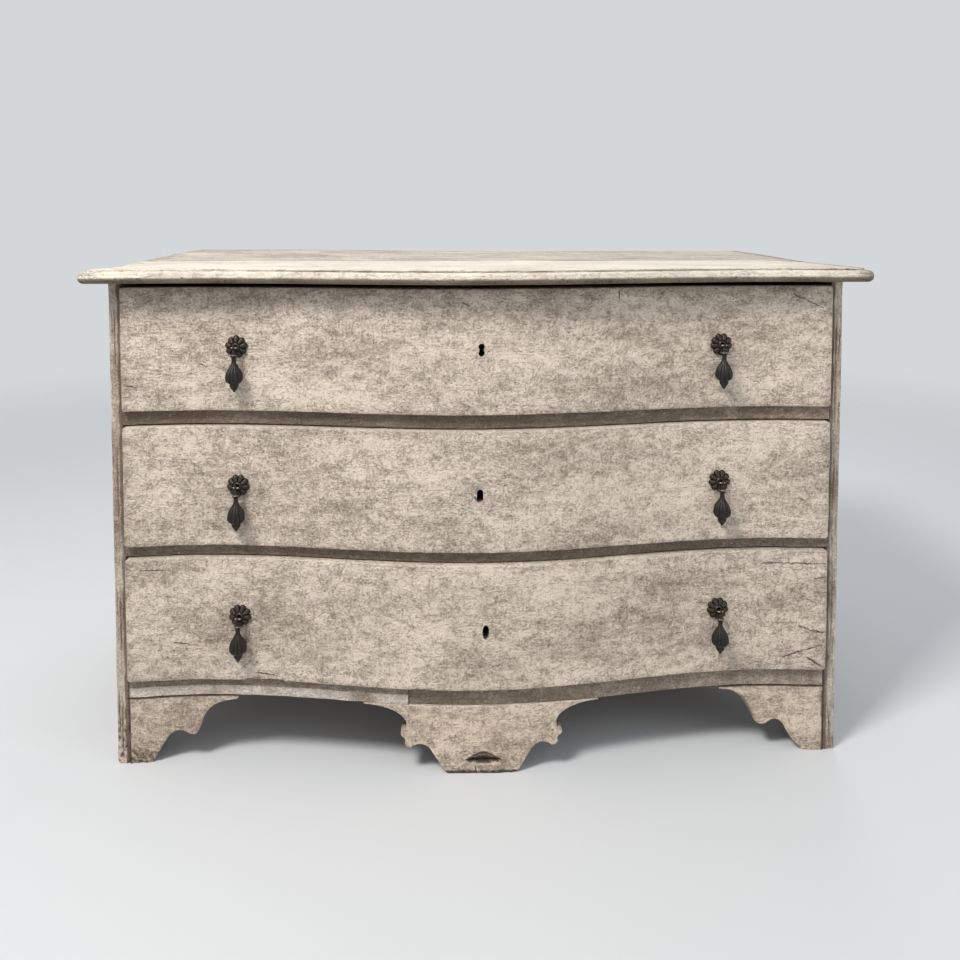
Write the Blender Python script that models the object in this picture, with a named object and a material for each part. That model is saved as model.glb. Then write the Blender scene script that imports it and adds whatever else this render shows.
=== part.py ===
"""Serpentine oak commode chest with three long drawers, modelled piece by piece as a joiner made it.

Frame: +X is the chest's right-hand side seen from the front, +Y its back, +Z up. The origin lies on the
floor, below the middle of the top's plan. Lengths are in metres.

The case is two side planks that run down to the floor as feet, three serpentine rails housed in them,
runners, a bottom board and two back planks. Below the lowest rail hang two bracket feet and a middle
pendant, each cut from a curved slab. The drawers have solid serpentine fronts with lapped dovetails,
an iron lock let into the back of each front, and two drop pulls. A pull is a petalled rosette, a split
pin whose loop runs along X through the eye of the drop, and the fluted drop itself.
"""

import math
from dataclasses import dataclass

import bmesh
import bpy
from mathutils import Matrix, Vector

# Overall sizes
CASE_WIDTH = 1.169
CASE_DEPTH = 0.606
TOTAL_HEIGHT = 0.800

# Gaps and cutter sizes that serve every piece
FIT = 0.0003
CUT_OVERRUN = 0.004
MERGE_DISTANCE = 0.000001
FLAT_ANGLE = math.radians(0.2)
ARRIS_ANGLE = math.radians(50)
SMOOTH_ANGLE = math.radians(40)

# Serpentine front: a swell in the middle, a hollow towards each side plank
BOW = 0.050
HOLLOW = 0.007
HOLLOW_PLACE_SHARE = 0.78
FRONT_STATIONS = 32

# Top: a field raised above a rounded nose, made of two boards
TOP_THICKNESS = 0.022
TOP_SIDE_OVERHANG = 0.030
TOP_FRONT_OVERHANG = 0.048
TOP_JOINT_SETBACK = 0.210
NOSE_HEIGHT = 0.0185
NOSE_REACH = 0.009
NOSE_STEPS = 6
QUIRK_WIDTH = 0.004
QUIRK_RISE = 0.0004

# Side planks
PLANK_THICKNESS = 0.020
PLANK_ARRIS = 0.0025
SIDE_FOOT_WIDTH = 0.080
SIDE_OGEE_RUN = 0.060
SIDE_OGEE_STEPS = 8

# Heights from the floor up. The drawers' openings share what the arch, rails and top leave of the height;
# the upper one takes what the two shares named here leave
ARCH_HEIGHT = 0.110
BASE_RAIL_THICKNESS = 0.029
LOWER_RAIL_THICKNESS = 0.017
UPPER_RAIL_THICKNESS = 0.022
LOWER_OPENING_SHARE = 0.3367
MIDDLE_OPENING_SHARE = 0.3233

# Rails
RAIL_PROUD = 0.002
RAIL_DEPTH = 0.075
TONGUE_LENGTH = 0.008
TONGUE_SETBACK = 0.014
TONGUE_EASE = 0.0006

# Back, bottom and runners
BACK_THICKNESS = 0.014
BACK_REBATE = 0.010
BACK_SEAM_SHARE = 0.48
BOTTOM_THICKNESS = 0.012
BOTTOM_HOUSING = 0.007
RUNNER_WIDTH = 0.030
RUNNER_THICKNESS = 0.014
RUNNER_HOUSING = 0.005

# Bracket feet: sizes run from the side plank's inner face towards the middle
BRACKET_THICKNESS = 0.022
BRACKET_LENGTH = 0.172
BRACKET_FEATHER = 0.002
BRACKET_SCOOP_REACH = 0.060
BRACKET_SCOOP_FLOOR = 0.052
BRACKET_LOBE_RADIUS = 0.0075
BRACKET_LOBE_PLACE = 0.0997
BRACKET_LOBE_HEIGHT = 0.0515
BRACKET_NOTCH_RADIUS = 0.018
BRACKET_NOTCH_PLACE = 0.078
BRACKET_NOTCH_TOP = 0.052
BRACKET_FOOT_WIDTH = 0.035
FOOT_BLOCK_WIDTH = 0.030
FOOT_BLOCK_DEPTH = 0.032
FOOT_BLOCK_LIFT = 0.004

# Pendant: sizes run from the chest's middle outwards
PENDANT_THICKNESS = 0.024
PENDANT_HALF_LENGTH = 0.187
PENDANT_SCOOP_REACH = 0.068
PENDANT_SCOOP_FLOOR = 0.077
PENDANT_UPPER_LOBE_RADIUS = 0.0068
PENDANT_UPPER_LOBE_PLACE = 0.1215
PENDANT_UPPER_LOBE_HEIGHT = 0.0618
PENDANT_LOWER_LOBE_RADIUS = 0.0062
PENDANT_LOWER_LOBE_PLACE = 0.1155
PENDANT_LOWER_LOBE_HEIGHT = 0.0465
PENDANT_NOTCH_RADIUS = 0.020
PENDANT_NOTCH_PLACE = 0.097
PENDANT_NOTCH_TOP = 0.0465
PENDANT_HEEL_PLACE = 0.0590
PENDANT_HEEL_HEIGHT = 0.005
PENDANT_FOOT_HALF_WIDTH = 0.048

# Drawer boxes
DRAWER_PROUD = 0.012
FRONT_INSET = 0.020
FRONT_SIDE_GAP = 0.0015
FRONT_ARRIS = 0.0022
RUN_GAP = 0.0005
TOP_EDGE_GAP = 0.002
UPPER_EDGE_GAP = 0.008
SIDE_THICKNESS = 0.014
SIDE_DROP = 0.006
DRAWER_BACK_THICKNESS = 0.012
DRAWER_BACK_GAP = 0.001
DRAWER_BOTTOM_THICKNESS = 0.008
DRAWER_BOTTOM_LIFT = 0.010
GROOVE_DEPTH = 0.005
TAIL_COUNT = 3
TAIL_LENGTH = 0.016
TAIL_ROOT_SHARE = 0.40
TAIL_TIP_SHARE = 0.58

# Pulls and keyholes of each drawer: lifts as shares of its opening's height, and offsets from the middle
UPPER_PULL_SHARE = 0.5025
MIDDLE_PULL_SHARE = 0.505
LOWER_PULL_SHARE = 0.530
UPPER_KEY_SHARE = 0.4975
MIDDLE_KEY_SHARE = 0.469
LOWER_KEY_SHARE = 0.463
UPPER_KEY_OFFSET = -0.0005
MIDDLE_KEY_OFFSET = -0.003
LOWER_KEY_OFFSET = 0.006

# Keyholes and locks
KEYHOLE_HEAD_RADIUS = 0.0049
KEYHOLE_HEIGHT = 0.0204
KEYHOLE_WAIST = 0.0066
KEYHOLE_SKIRT = 0.0098
SLOT_WIDTH = 0.0100
SLOT_HEIGHT = 0.0204
OVAL_WIDTH = 0.0109
OVAL_HEIGHT = 0.0238
ROUND_STEPS = 12
LOCK_FACE_WOOD = 0.030
LOCK_WIDTH = 0.070
LOCK_THICKNESS = 0.014
LOCK_WALL = 0.002
LOCK_BELOW_KEY = 0.030
LOCK_TOP_DROP = 0.012
LOCK_POST_RADIUS = 0.0018
LOCK_POST_LIFT = 0.0045
LOCK_SLOT_WIDTH = 0.0090
LOCK_SLOT_HEIGHT = 0.0190
BOLT_WIDTH = 0.024
BOLT_HEAD_WIDTH = 0.036
BOLT_HEAD_HEIGHT = 0.010
BOLT_THICKNESS = 0.006
BOLT_TAIL_WIDTH = 0.018
BOLT_TAIL_GAP = 0.004
BOLT_TALON_RADIUS = 0.005
BOLT_DROP = 0.001
BOLT_ENGAGEMENT = 0.008
BOLT_CLEARANCE = 0.0005
MORTISE_SPARE = 0.0015

# Pulls
PULL_INSET = 0.1795
PULL_HOLE_RADIUS = 0.0032
ROSETTE_RADIUS = 0.0180
ROSETTE_SEAT = 0.00045
PETAL_COUNT = 9
PETAL_STEPS = 4
PETAL_NOTCH_SHARE = 0.24
PETAL_DIP_SHARE = 0.35
PETAL_UP_TURN = math.radians(-10)
NOTCH_UP_TURN = math.radians(10)
BOSS_RADIUS = 0.0066
BOSS_TOP_RADIUS = 0.0050
BOSS_HEIGHT = 0.0080
BOSS_FOOT_HEIGHT = 0.0030
PETAL_CREST_RADIUS = 0.0128
PETAL_CREST_HEIGHT = 0.0048
PETAL_EDGE_HEIGHT = 0.0016
PIN_RADIUS = 0.0011
PIN_LEG_OFFSET = 0.0016
PIN_LOOP_HALF_WIDTH = 0.0042
PIN_LOOP_FLAT_HALF = 0.0024
PIN_SHOULDER = 0.0030
PIN_CLINCH = 0.011
PIN_BEND_RADIUS = 0.0022
PIN_INSIDE_GAP = 0.0006
PIVOT_REACH = 0.0150
EYE_HOLE_RADIUS = 0.0018
EYE_HOLE_DROP = 0.0004
EYE_RADIUS = 0.0042
EYE_THICKNESS = 0.0034
DROP_LENGTH = 0.0700
DROP_RADIUS = 0.0140
FLUTE_COUNT = 12
FLUTE_STEPS = 2
FLUTE_DEPTH_SHARE = 0.10
# Outline of the drop: each pair is a distance below the pivot as a share of DROP_LENGTH, and a radius
# there as a share of DROP_RADIUS
DROP_OUTLINE_SHARES = (
    (0.072, 0.25), (0.148, 0.25), (0.160, 0.39), (0.215, 0.32), (0.290, 0.245), (0.385, 0.38),
    (0.480, 0.70), (0.575, 0.93), (0.660, 1.00), (0.745, 0.86), (0.800, 0.53), (0.865, 0.48),
    (0.990, 0.05),
)
CROWN_ROW = 2
FLUTED_FROM_SHARE = 0.31
FLUTED_TO_SHARE = 0.80

# Places that follow from the sizes above
TOTAL_DEPTH = CASE_DEPTH + BOW - HOLLOW + TOP_FRONT_OVERHANG
FRONT_Y = BOW - HOLLOW + TOP_FRONT_OVERHANG - TOTAL_DEPTH / 2
BACK_Y = FRONT_Y + CASE_DEPTH
HALF_CASE = CASE_WIDTH / 2
INNER_X = HALF_CASE - PLANK_THICKNESS
PLANK_TOP = TOTAL_HEIGHT - TOP_THICKNESS
BASE_RAIL_TOP = ARCH_HEIGHT + BASE_RAIL_THICKNESS
OPENINGS_HEIGHT = PLANK_TOP - BASE_RAIL_TOP - LOWER_RAIL_THICKNESS - UPPER_RAIL_THICKNESS
LOWER_RAIL_FLOOR = BASE_RAIL_TOP + OPENINGS_HEIGHT * LOWER_OPENING_SHARE
LOWER_RAIL_TOP = LOWER_RAIL_FLOOR + LOWER_RAIL_THICKNESS
UPPER_RAIL_FLOOR = LOWER_RAIL_TOP + OPENINGS_HEIGHT * MIDDLE_OPENING_SHARE
UPPER_RAIL_TOP = UPPER_RAIL_FLOOR + UPPER_RAIL_THICKNESS
BACK_FACE_Y = BACK_Y - BACK_THICKNESS
FRONT_INNER_Y = FRONT_Y + FRONT_INSET
DRAWER_REAR_Y = BACK_FACE_Y - DRAWER_BACK_GAP
DRAWER_HALF = INNER_X - FRONT_SIDE_GAP
PULL_X = DRAWER_HALF - PULL_INSET
LOCK_Y = FRONT_Y - DRAWER_PROUD - BOW + HOLLOW + LOCK_FACE_WOOD
BOLT_Y = LOCK_Y + LOCK_THICKNESS / 2


@dataclass(frozen=True)
class Drawer:
    """Where one drawer lies: its opening, the gap above its front, its pulls and its keyhole."""

    name: str
    floor: float
    ceiling: float
    edge_gap: float
    pull_share: float
    key_x: float
    key_share: float
    keyhole: str

    @property
    def pull_height(self):
        return self.floor + self.pull_share * (self.ceiling - self.floor)

    @property
    def key_height(self):
        return self.floor + self.key_share * (self.ceiling - self.floor)

    @property
    def low(self):
        return self.floor + RUN_GAP

    @property
    def high(self):
        return self.ceiling - self.edge_gap

    @property
    def side_top(self):
        return self.high - SIDE_DROP

    @property
    def throw(self):
        """How far the bolt rises from its drawn-in place to its full hold in the rail or top."""
        return self.edge_gap + BOLT_DROP + BOLT_ENGAGEMENT


UPPER = Drawer(
    name="upper",
    floor=UPPER_RAIL_TOP,
    ceiling=PLANK_TOP,
    edge_gap=UPPER_EDGE_GAP,
    pull_share=UPPER_PULL_SHARE,
    key_x=UPPER_KEY_OFFSET,
    key_share=UPPER_KEY_SHARE,
    keyhole="waisted",
)
MIDDLE = Drawer(
    name="middle",
    floor=LOWER_RAIL_TOP,
    ceiling=UPPER_RAIL_FLOOR,
    edge_gap=TOP_EDGE_GAP,
    pull_share=MIDDLE_PULL_SHARE,
    key_x=MIDDLE_KEY_OFFSET,
    key_share=MIDDLE_KEY_SHARE,
    keyhole="slot",
)
LOWER = Drawer(
    name="lower",
    floor=BASE_RAIL_TOP,
    ceiling=LOWER_RAIL_FLOOR,
    edge_gap=TOP_EDGE_GAP,
    pull_share=LOWER_PULL_SHARE,
    key_x=LOWER_KEY_OFFSET,
    key_share=LOWER_KEY_SHARE,
    keyhole="oval",
)
DRAWERS = (UPPER, MIDDLE, LOWER)


def clear_scene():
    """Empty the scene, so that only the chest's own objects are in it."""
    for old in list(bpy.data.objects):
        bpy.data.objects.remove(old, do_unlink=True)


def new_collection(name):
    """A collection linked to the scene."""
    group = bpy.data.collections.new(name)
    bpy.context.scene.collection.children.link(group)
    return group


def principled(name, colour, roughness, metallic):
    """A plain Principled BSDF material."""
    material = bpy.data.materials.new(name)
    material.use_nodes = True
    shader = material.node_tree.nodes["Principled BSDF"]
    shader.inputs["Base Color"].default_value = (*colour, 1.0)
    shader.inputs["Roughness"].default_value = roughness
    shader.inputs["Metallic"].default_value = metallic
    return material


clear_scene()
CHEST = new_collection("commode_chest")
CUTTERS = new_collection("cutters")
LIMED_OAK = principled("limed_oak", (0.56, 0.49, 0.40), 0.78, 0.0)
BARE_OAK = principled("bare_oak", (0.33, 0.22, 0.13), 0.80, 0.0)
DARK_BRASS = principled("blackened_brass", (0.035, 0.030, 0.025), 0.45, 0.9)
LOCK_IRON = principled("lock_iron", (0.09, 0.08, 0.075), 0.60, 0.9)


def bow(x):
    """How far the serpentine stands forward of the side planks' front edges at x."""
    place_share = min(abs(x) / HALF_CASE, 1.0)
    if place_share < HOLLOW_PLACE_SHARE:
        swell_share = (1 + math.cos(math.pi * place_share / HOLLOW_PLACE_SHARE)) / 2
        return BOW * swell_share - HOLLOW
    rise_share = (place_share - HOLLOW_PLACE_SHARE) / (1 - HOLLOW_PLACE_SHARE)
    return -HOLLOW * (1 + math.cos(math.pi * rise_share)) / 2


def bow_slope(x):
    """The serpentine's slope at x, from the same formula."""
    place_share = abs(x) / HALF_CASE
    side = math.copysign(1, x)
    if place_share >= HOLLOW_PLACE_SHARE:
        span_share = 1 - HOLLOW_PLACE_SHARE
        turn = math.pi * (place_share - HOLLOW_PLACE_SHARE) / span_share
        return side * HOLLOW * math.pi * math.sin(turn) / (2 * span_share * HALF_CASE)
    turn = math.pi * place_share / HOLLOW_PLACE_SHARE
    return -side * BOW * math.pi * math.sin(turn) / (2 * HOLLOW_PLACE_SHARE * HALF_CASE)


def stations(x_left, x_right):
    """Places along the front from x_left to x_right: both ends and the chest's common stations between."""
    pitch = CASE_WIDTH / FRONT_STATIONS
    common = [pitch * (step - FRONT_STATIONS / 2) for step in range(FRONT_STATIONS + 1)]
    inside = [x for x in common if x_left + pitch / 3 < x < x_right - pitch / 3]
    return [x_left, *inside, x_right]


def arc(centre, radius, start_deg, end_deg, steps):
    """Points on a circle, or on an ellipse where radius is a pair, from one angle to another."""
    across, up = radius if isinstance(radius, tuple) else (radius, radius)
    turns = [math.radians(start_deg + (end_deg - start_deg) * step / steps) for step in range(steps + 1)]
    return [(centre[0] + across * math.cos(turn), centre[1] + up * math.sin(turn)) for turn in turns]


def finish(piece, material):
    """Give a finished piece its material and put it in the chest's collection."""
    piece.data.materials.clear()
    piece.data.materials.append(material)
    for group in list(piece.users_collection):
        group.objects.unlink(piece)
    CHEST.objects.link(piece)
    return piece


def as_cutter(piece):
    """Put a piece among the cutters, drawn as wire and left out of renders."""
    for group in list(piece.users_collection):
        group.objects.unlink(piece)
    CUTTERS.objects.link(piece)
    piece.hide_render = True
    piece.display_type = "WIRE"
    return piece


def mesh_piece(name, bm):
    """An object from a bmesh, with its faces turned outwards."""
    bmesh.ops.recalc_face_normals(bm, faces=bm.faces)
    mesh = bpy.data.meshes.new(name)
    bm.to_mesh(mesh)
    bm.free()
    piece = bpy.data.objects.new(name, mesh)
    bpy.context.scene.collection.objects.link(piece)
    return piece


def box(name, low, high):
    """A box between two opposite corners."""
    middle = (Vector(low) + Vector(high)) / 2
    size = Vector(high) - Vector(low)
    bm = bmesh.new()
    place = Matrix.Translation(middle) @ Matrix.Diagonal((*size, 1))
    bmesh.ops.create_cube(bm, size=1, matrix=place)
    return mesh_piece(name, bm)


def cylinder(name, start, end, radius, steps):
    """A cylinder from one point to another."""
    line = Vector(end) - Vector(start)
    middle = (Vector(start) + Vector(end)) / 2
    place = Matrix.Translation(middle) @ line.to_track_quat("Z", "Y").to_matrix().to_4x4()
    bm = bmesh.new()
    bmesh.ops.create_cone(
        bm, cap_ends=True, segments=steps, radius1=radius, radius2=radius, depth=line.length, matrix=place
    )
    return mesh_piece(name, bm)


def curve_to_mesh(curve_object):
    """The curve object's evaluated shape as a welded mesh object of the same name; the curve goes."""
    bpy.context.view_layer.update()
    name = curve_object.name
    place = curve_object.matrix_world.copy()
    graph = bpy.context.evaluated_depsgraph_get()
    mesh = bpy.data.meshes.new_from_object(curve_object.evaluated_get(graph))
    curve = curve_object.data
    bpy.data.objects.remove(curve_object, do_unlink=True)
    bpy.data.curves.remove(curve)
    bm = bmesh.new()
    bm.from_mesh(mesh)
    bpy.data.meshes.remove(mesh)
    bmesh.ops.remove_doubles(bm, verts=bm.verts, dist=MERGE_DISTANCE)
    bmesh.ops.dissolve_limit(bm, angle_limit=FLAT_ANGLE, verts=bm.verts, edges=bm.edges)
    bmesh.ops.transform(bm, matrix=place, verts=bm.verts)
    return mesh_piece(name, bm)


# How a flat outline's own axes (along, up, normal) lie in the chest, for each plane it is drawn in
PLANES = {
    "XY": Matrix.Identity(4),
    "XZ": Matrix(((1, 0, 0, 0), (0, 0, -1, 0), (0, 1, 0, 0), (0, 0, 0, 1))),
    "YZ": Matrix(((0, 0, 1, 0), (1, 0, 0, 0), (0, 1, 0, 0), (0, 0, 0, 1))),
}


def plate(name, outline, plane, low, high):
    """A closed 2D outline, filled and extruded between low and high along the world axis it faces."""
    curve = bpy.data.curves.new(name, "CURVE")
    curve.dimensions = "2D"
    curve.fill_mode = "BOTH"
    curve.extrude = (high - low) / 2
    spline = curve.splines.new("POLY")
    spline.points.add(len(outline) - 1)
    for point, (along, up) in zip(spline.points, outline):
        point.co = (along, up, 0, 1)
    spline.use_cyclic_u = True
    piece = bpy.data.objects.new(name, curve)
    middle = (low + high) / 2
    shift = {"XY": (0, 0, middle), "XZ": (0, middle, 0), "YZ": (middle, 0, 0)}[plane]
    piece.matrix_world = Matrix.Translation(shift) @ PLANES[plane]
    bpy.context.scene.collection.objects.link(piece)
    return curve_to_mesh(piece)


def tube(name, points, radius):
    """A round wire through the points, as a poly curve with filled ends."""
    curve = bpy.data.curves.new(name, "CURVE")
    curve.dimensions = "3D"
    curve.bevel_depth = radius
    curve.bevel_resolution = 1
    curve.use_fill_caps = True
    spline = curve.splines.new("POLY")
    spline.points.add(len(points) - 1)
    for point, place in zip(spline.points, points):
        point.co = (*place, 1)
    piece = bpy.data.objects.new(name, curve)
    bpy.context.scene.collection.objects.link(piece)
    return piece


def combine(piece, other, operation):
    """Add an exact Boolean with another piece, which becomes a cutter object."""
    as_cutter(other)
    modifier = piece.modifiers.new(other.name, "BOOLEAN")
    modifier.operation = operation
    modifier.solver = "EXACT"
    modifier.object = other
    return piece


def cut(piece, cutter):
    """Take a cutter's volume out of a piece."""
    return combine(piece, cutter, "DIFFERENCE")


def cut_box(piece, name, low, high):
    """Cut a box out of a piece."""
    return cut(piece, box(f"{piece.name}.{name}", low, high))


def ease_edges(piece, radius, wanted):
    """Round over the sharp edges of a mesh whose two ends both pass the test."""
    bm = bmesh.new()
    bm.from_mesh(piece.data)
    edges = [
        edge
        for edge in bm.edges
        if edge.calc_face_angle(0) > ARRIS_ANGLE and all(wanted(corner.co) for corner in edge.verts)
    ]
    bmesh.ops.bevel(
        bm, geom=edges, offset=radius, offset_type="OFFSET", segments=2, profile=0.5, affect="EDGES"
    )
    bmesh.ops.recalc_face_normals(bm, faces=bm.faces)
    bm.to_mesh(piece.data)
    bm.free()


def shade_smooth(piece):
    """Smooth shading with sharp edges kept at the arrises."""
    piece.data.shade_smooth()
    piece.data.set_sharp_from_angle(angle=SMOOTH_ANGLE)


def move_origin(piece, place):
    """Set a piece's origin to a place in the chest without moving its shape."""
    piece.data.transform(Matrix.Translation(-Vector(place)))
    piece.location = place


def attach(piece, holder):
    """Parent a piece to its holder and leave it where it stands."""
    bpy.context.view_layer.update()
    piece.parent = holder
    piece.matrix_parent_inverse = holder.matrix_world.inverted()


def guide(name, place, turn=0.0, holder=None):
    """An empty that moving pieces hang on, turned about Z."""
    empty = bpy.data.objects.new(name, None)
    empty.location = place
    empty.rotation_euler = (0, 0, turn)
    CHEST.objects.link(empty)
    if holder is not None:
        attach(empty, holder)
    return empty


def front_outline(x_left, x_right, proud, back_y):
    """Plan of a piece whose front follows the serpentine and whose back is straight."""
    front = [(x, FRONT_Y - proud - bow(x)) for x in stations(x_left, x_right)]
    return [*front, (x_right, back_y), (x_left, back_y)]


def curved_outline(x_left, x_right, proud, thickness):
    """Plan of a slab of even thickness whose front and back both follow the serpentine."""
    places = stations(x_left, x_right)
    front = [(x, FRONT_Y - proud - bow(x)) for x in places]
    back = [(x, FRONT_Y - proud - bow(x) + thickness) for x in reversed(places)]
    return [*front, *back]


def moulded_board(name, front_y, back_y, front_moulded):
    """A board of the top, whose ends, and front where asked, carry the rounded nose and the raised field.

    The plan outline is drawn once for each point of the moulding, drawn in by that point's inset, and the
    loops are joined from the underside to the field.
    """
    half = HALF_CASE + TOP_SIDE_OVERHANG
    floor = PLANK_TOP
    nose = arc((NOSE_REACH, floor + NOSE_HEIGHT / 2), (-NOSE_REACH, NOSE_HEIGHT / 2), -90, 90, NOSE_STEPS)
    quirk = NOSE_REACH + QUIRK_WIDTH
    profile = [*nose, (quirk, floor + NOSE_HEIGHT + QUIRK_RISE), (quirk, TOTAL_HEIGHT)]
    places = stations(-HALF_CASE, HALF_CASE) if front_moulded else []
    bm = bmesh.new()
    loops = []
    for inset, height in profile:
        edge = half - inset
        front = [(x, front_y(x) + inset) for x in places]
        corner_y = front_y(half) + (inset if front_moulded else 0)
        plan = [(-edge, corner_y), *front, (edge, corner_y), (edge, back_y), (-edge, back_y)]
        loops.append([bm.verts.new((x, y, height)) for x, y in plan])
    for below, above in zip(loops, loops[1:]):
        for index, corner in enumerate(below):
            after = (index + 1) % len(below)
            bm.faces.new((corner, below[after], above[after], above[index]))
    bm.faces.new(list(reversed(loops[0])))
    bm.faces.new(loops[-1])
    return mesh_piece(name, bm)


def make_top():
    """The two boards of the top, mortised below for the upper drawer's bolt."""
    joint_y = FRONT_Y + TOP_JOINT_SETBACK
    front = moulded_board(
        "top_front_board", lambda x: FRONT_Y - TOP_FRONT_OVERHANG - bow(x), joint_y - FIT / 2, True
    )
    back = moulded_board("top_back_board", lambda x: joint_y + FIT / 2, BACK_Y, False)
    cut_mortise(front, UPPER, PLANK_TOP)
    for board in (front, back):
        shade_smooth(board)
        finish(board, LIMED_OAK)


def cut_mortise(piece, drawer, underside):
    """Cut the mortise that a drawer's bolt rises into from below."""
    half_width = BOLT_WIDTH / 2 + BOLT_CLEARANCE
    half_depth = BOLT_THICKNESS / 2 + BOLT_CLEARANCE
    cut_box(
        piece,
        "bolt_mortise",
        (drawer.key_x - half_width, BOLT_Y - half_depth, underside - CUT_OVERRUN),
        (drawer.key_x + half_width, BOLT_Y + half_depth, underside + BOLT_ENGAGEMENT + MORTISE_SPARE),
    )


def side_plank_outline():
    """Side view of a plank: straight up to the top, with an ogee arch cut between its two feet."""
    rise = []
    for step in range(SIDE_OGEE_STEPS + 1):
        share = step / SIDE_OGEE_STEPS
        rise.append((SIDE_FOOT_WIDTH + SIDE_OGEE_RUN * share, ARCH_HEIGHT * (1 - math.cos(math.pi * share)) / 2))
    front = [(FRONT_Y + along, height) for along, height in rise]
    back = [(BACK_Y - along, height) for along, height in reversed(rise)]
    top = PLANK_TOP - FIT
    return [(FRONT_Y, 0), *front, *back, (BACK_Y, 0), (BACK_Y, top), (FRONT_Y, top)]


def runner_height(drawer):
    """The floor of the runner that carries a drawer: its top is level with the rail's."""
    return drawer.floor - RUNNER_THICKNESS


def make_side_planks():
    """The side planks, housed for the rails, runners and bottom and rebated for the back."""
    rails = (
        ("upper_rail", UPPER_RAIL_FLOOR, UPPER_RAIL_TOP),
        ("lower_rail", LOWER_RAIL_FLOOR, LOWER_RAIL_TOP),
        ("base_rail", ARCH_HEIGHT, BASE_RAIL_TOP),
    )
    rail_front = FRONT_Y + TONGUE_SETBACK - FIT
    rail_back = FRONT_Y + RAIL_DEPTH + FIT
    bottom_top = BASE_RAIL_TOP - RUNNER_THICKNESS
    for side, hand in (("left", -1), ("right", 1)):
        faces = sorted((hand * INNER_X, hand * HALF_CASE))
        plank = plate(f"side_{side}", side_plank_outline(), "YZ", *faces)
        ease_edges(plank, PLANK_ARRIS, lambda place: place.y < FRONT_Y + MERGE_DISTANCE)

        def housing(name, depth, y_range, z_range):
            reach = sorted((hand * (INNER_X - CUT_OVERRUN), hand * (INNER_X + depth + FIT)))
            low = (reach[0], y_range[0], z_range[0])
            high = (reach[1], y_range[1], z_range[1])
            cut_box(plank, name, low, high)

        for name, low, high in rails:
            housing(name, TONGUE_LENGTH, (rail_front, rail_back), (low - FIT, high + FIT))
        for drawer in (UPPER, MIDDLE):
            low = runner_height(drawer) - FIT
            housing(
                f"{drawer.name}_runner", RUNNER_HOUSING, (rail_back, BACK_FACE_Y), (low, drawer.floor + FIT)
            )
        bottom_low = bottom_top - BOTTOM_THICKNESS - FIT
        housing("bottom", BOTTOM_HOUSING, (rail_back, BACK_FACE_Y), (bottom_low, bottom_top + FIT))
        rebate_z = (bottom_low - FIT, PLANK_TOP + CUT_OVERRUN)
        housing("back_rebate", BACK_REBATE, (BACK_FACE_Y - FIT, BACK_Y + CUT_OVERRUN), rebate_z)
        finish(plank, LIMED_OAK)


def rail_outline():
    """Plan of a rail: serpentine front between the planks, and a tongue at each end behind it."""
    half = INNER_X - FIT
    tip = INNER_X + TONGUE_LENGTH
    tongue_y = FRONT_Y + TONGUE_SETBACK
    back_y = FRONT_Y + RAIL_DEPTH
    front = [(x, FRONT_Y - RAIL_PROUD - bow(x)) for x in stations(-half, half)]
    right = [(half, tongue_y), (tip, tongue_y + TONGUE_EASE), (tip, back_y)]
    left = [(-x, y) for x, y in reversed(right)]
    return [*front, *right, *left]


def make_rails():
    """The two rails between the drawers and the base rail, mortised below for the bolts."""
    upper = plate("rail_upper", rail_outline(), "XY", UPPER_RAIL_FLOOR, UPPER_RAIL_TOP)
    cut_mortise(upper, MIDDLE, UPPER_RAIL_FLOOR)
    lower = plate("rail_lower", rail_outline(), "XY", LOWER_RAIL_FLOOR, LOWER_RAIL_TOP)
    cut_mortise(lower, LOWER, LOWER_RAIL_FLOOR)
    base = plate("base_rail", rail_outline(), "XY", ARCH_HEIGHT, BASE_RAIL_TOP)
    for rail in (upper, lower, base):
        finish(rail, LIMED_OAK)


def bracket_profile():
    """Front view of a bracket foot: distances from the plank's inner face, and heights."""
    feather = ARCH_HEIGHT - FIT - BRACKET_FEATHER
    scoop_rise = feather - BRACKET_SCOOP_FLOOR
    scoop_at = (BRACKET_LENGTH, BRACKET_SCOOP_FLOOR)
    scoop = arc(scoop_at, (-BRACKET_SCOOP_REACH, scoop_rise), 90, 4, 7)
    lobe = arc((BRACKET_LOBE_PLACE, BRACKET_LOBE_HEIGHT), BRACKET_LOBE_RADIUS, 0, -150, 5)
    notch_at = (BRACKET_NOTCH_PLACE, BRACKET_NOTCH_TOP - BRACKET_NOTCH_RADIUS)
    notch = arc(notch_at, BRACKET_NOTCH_RADIUS, 50, 150, 5)
    top = ARCH_HEIGHT - FIT
    return [(BRACKET_LENGTH, top), *scoop, *lobe, *notch, (BRACKET_FOOT_WIDTH, 0), (FIT, 0), (FIT, top)]


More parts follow.
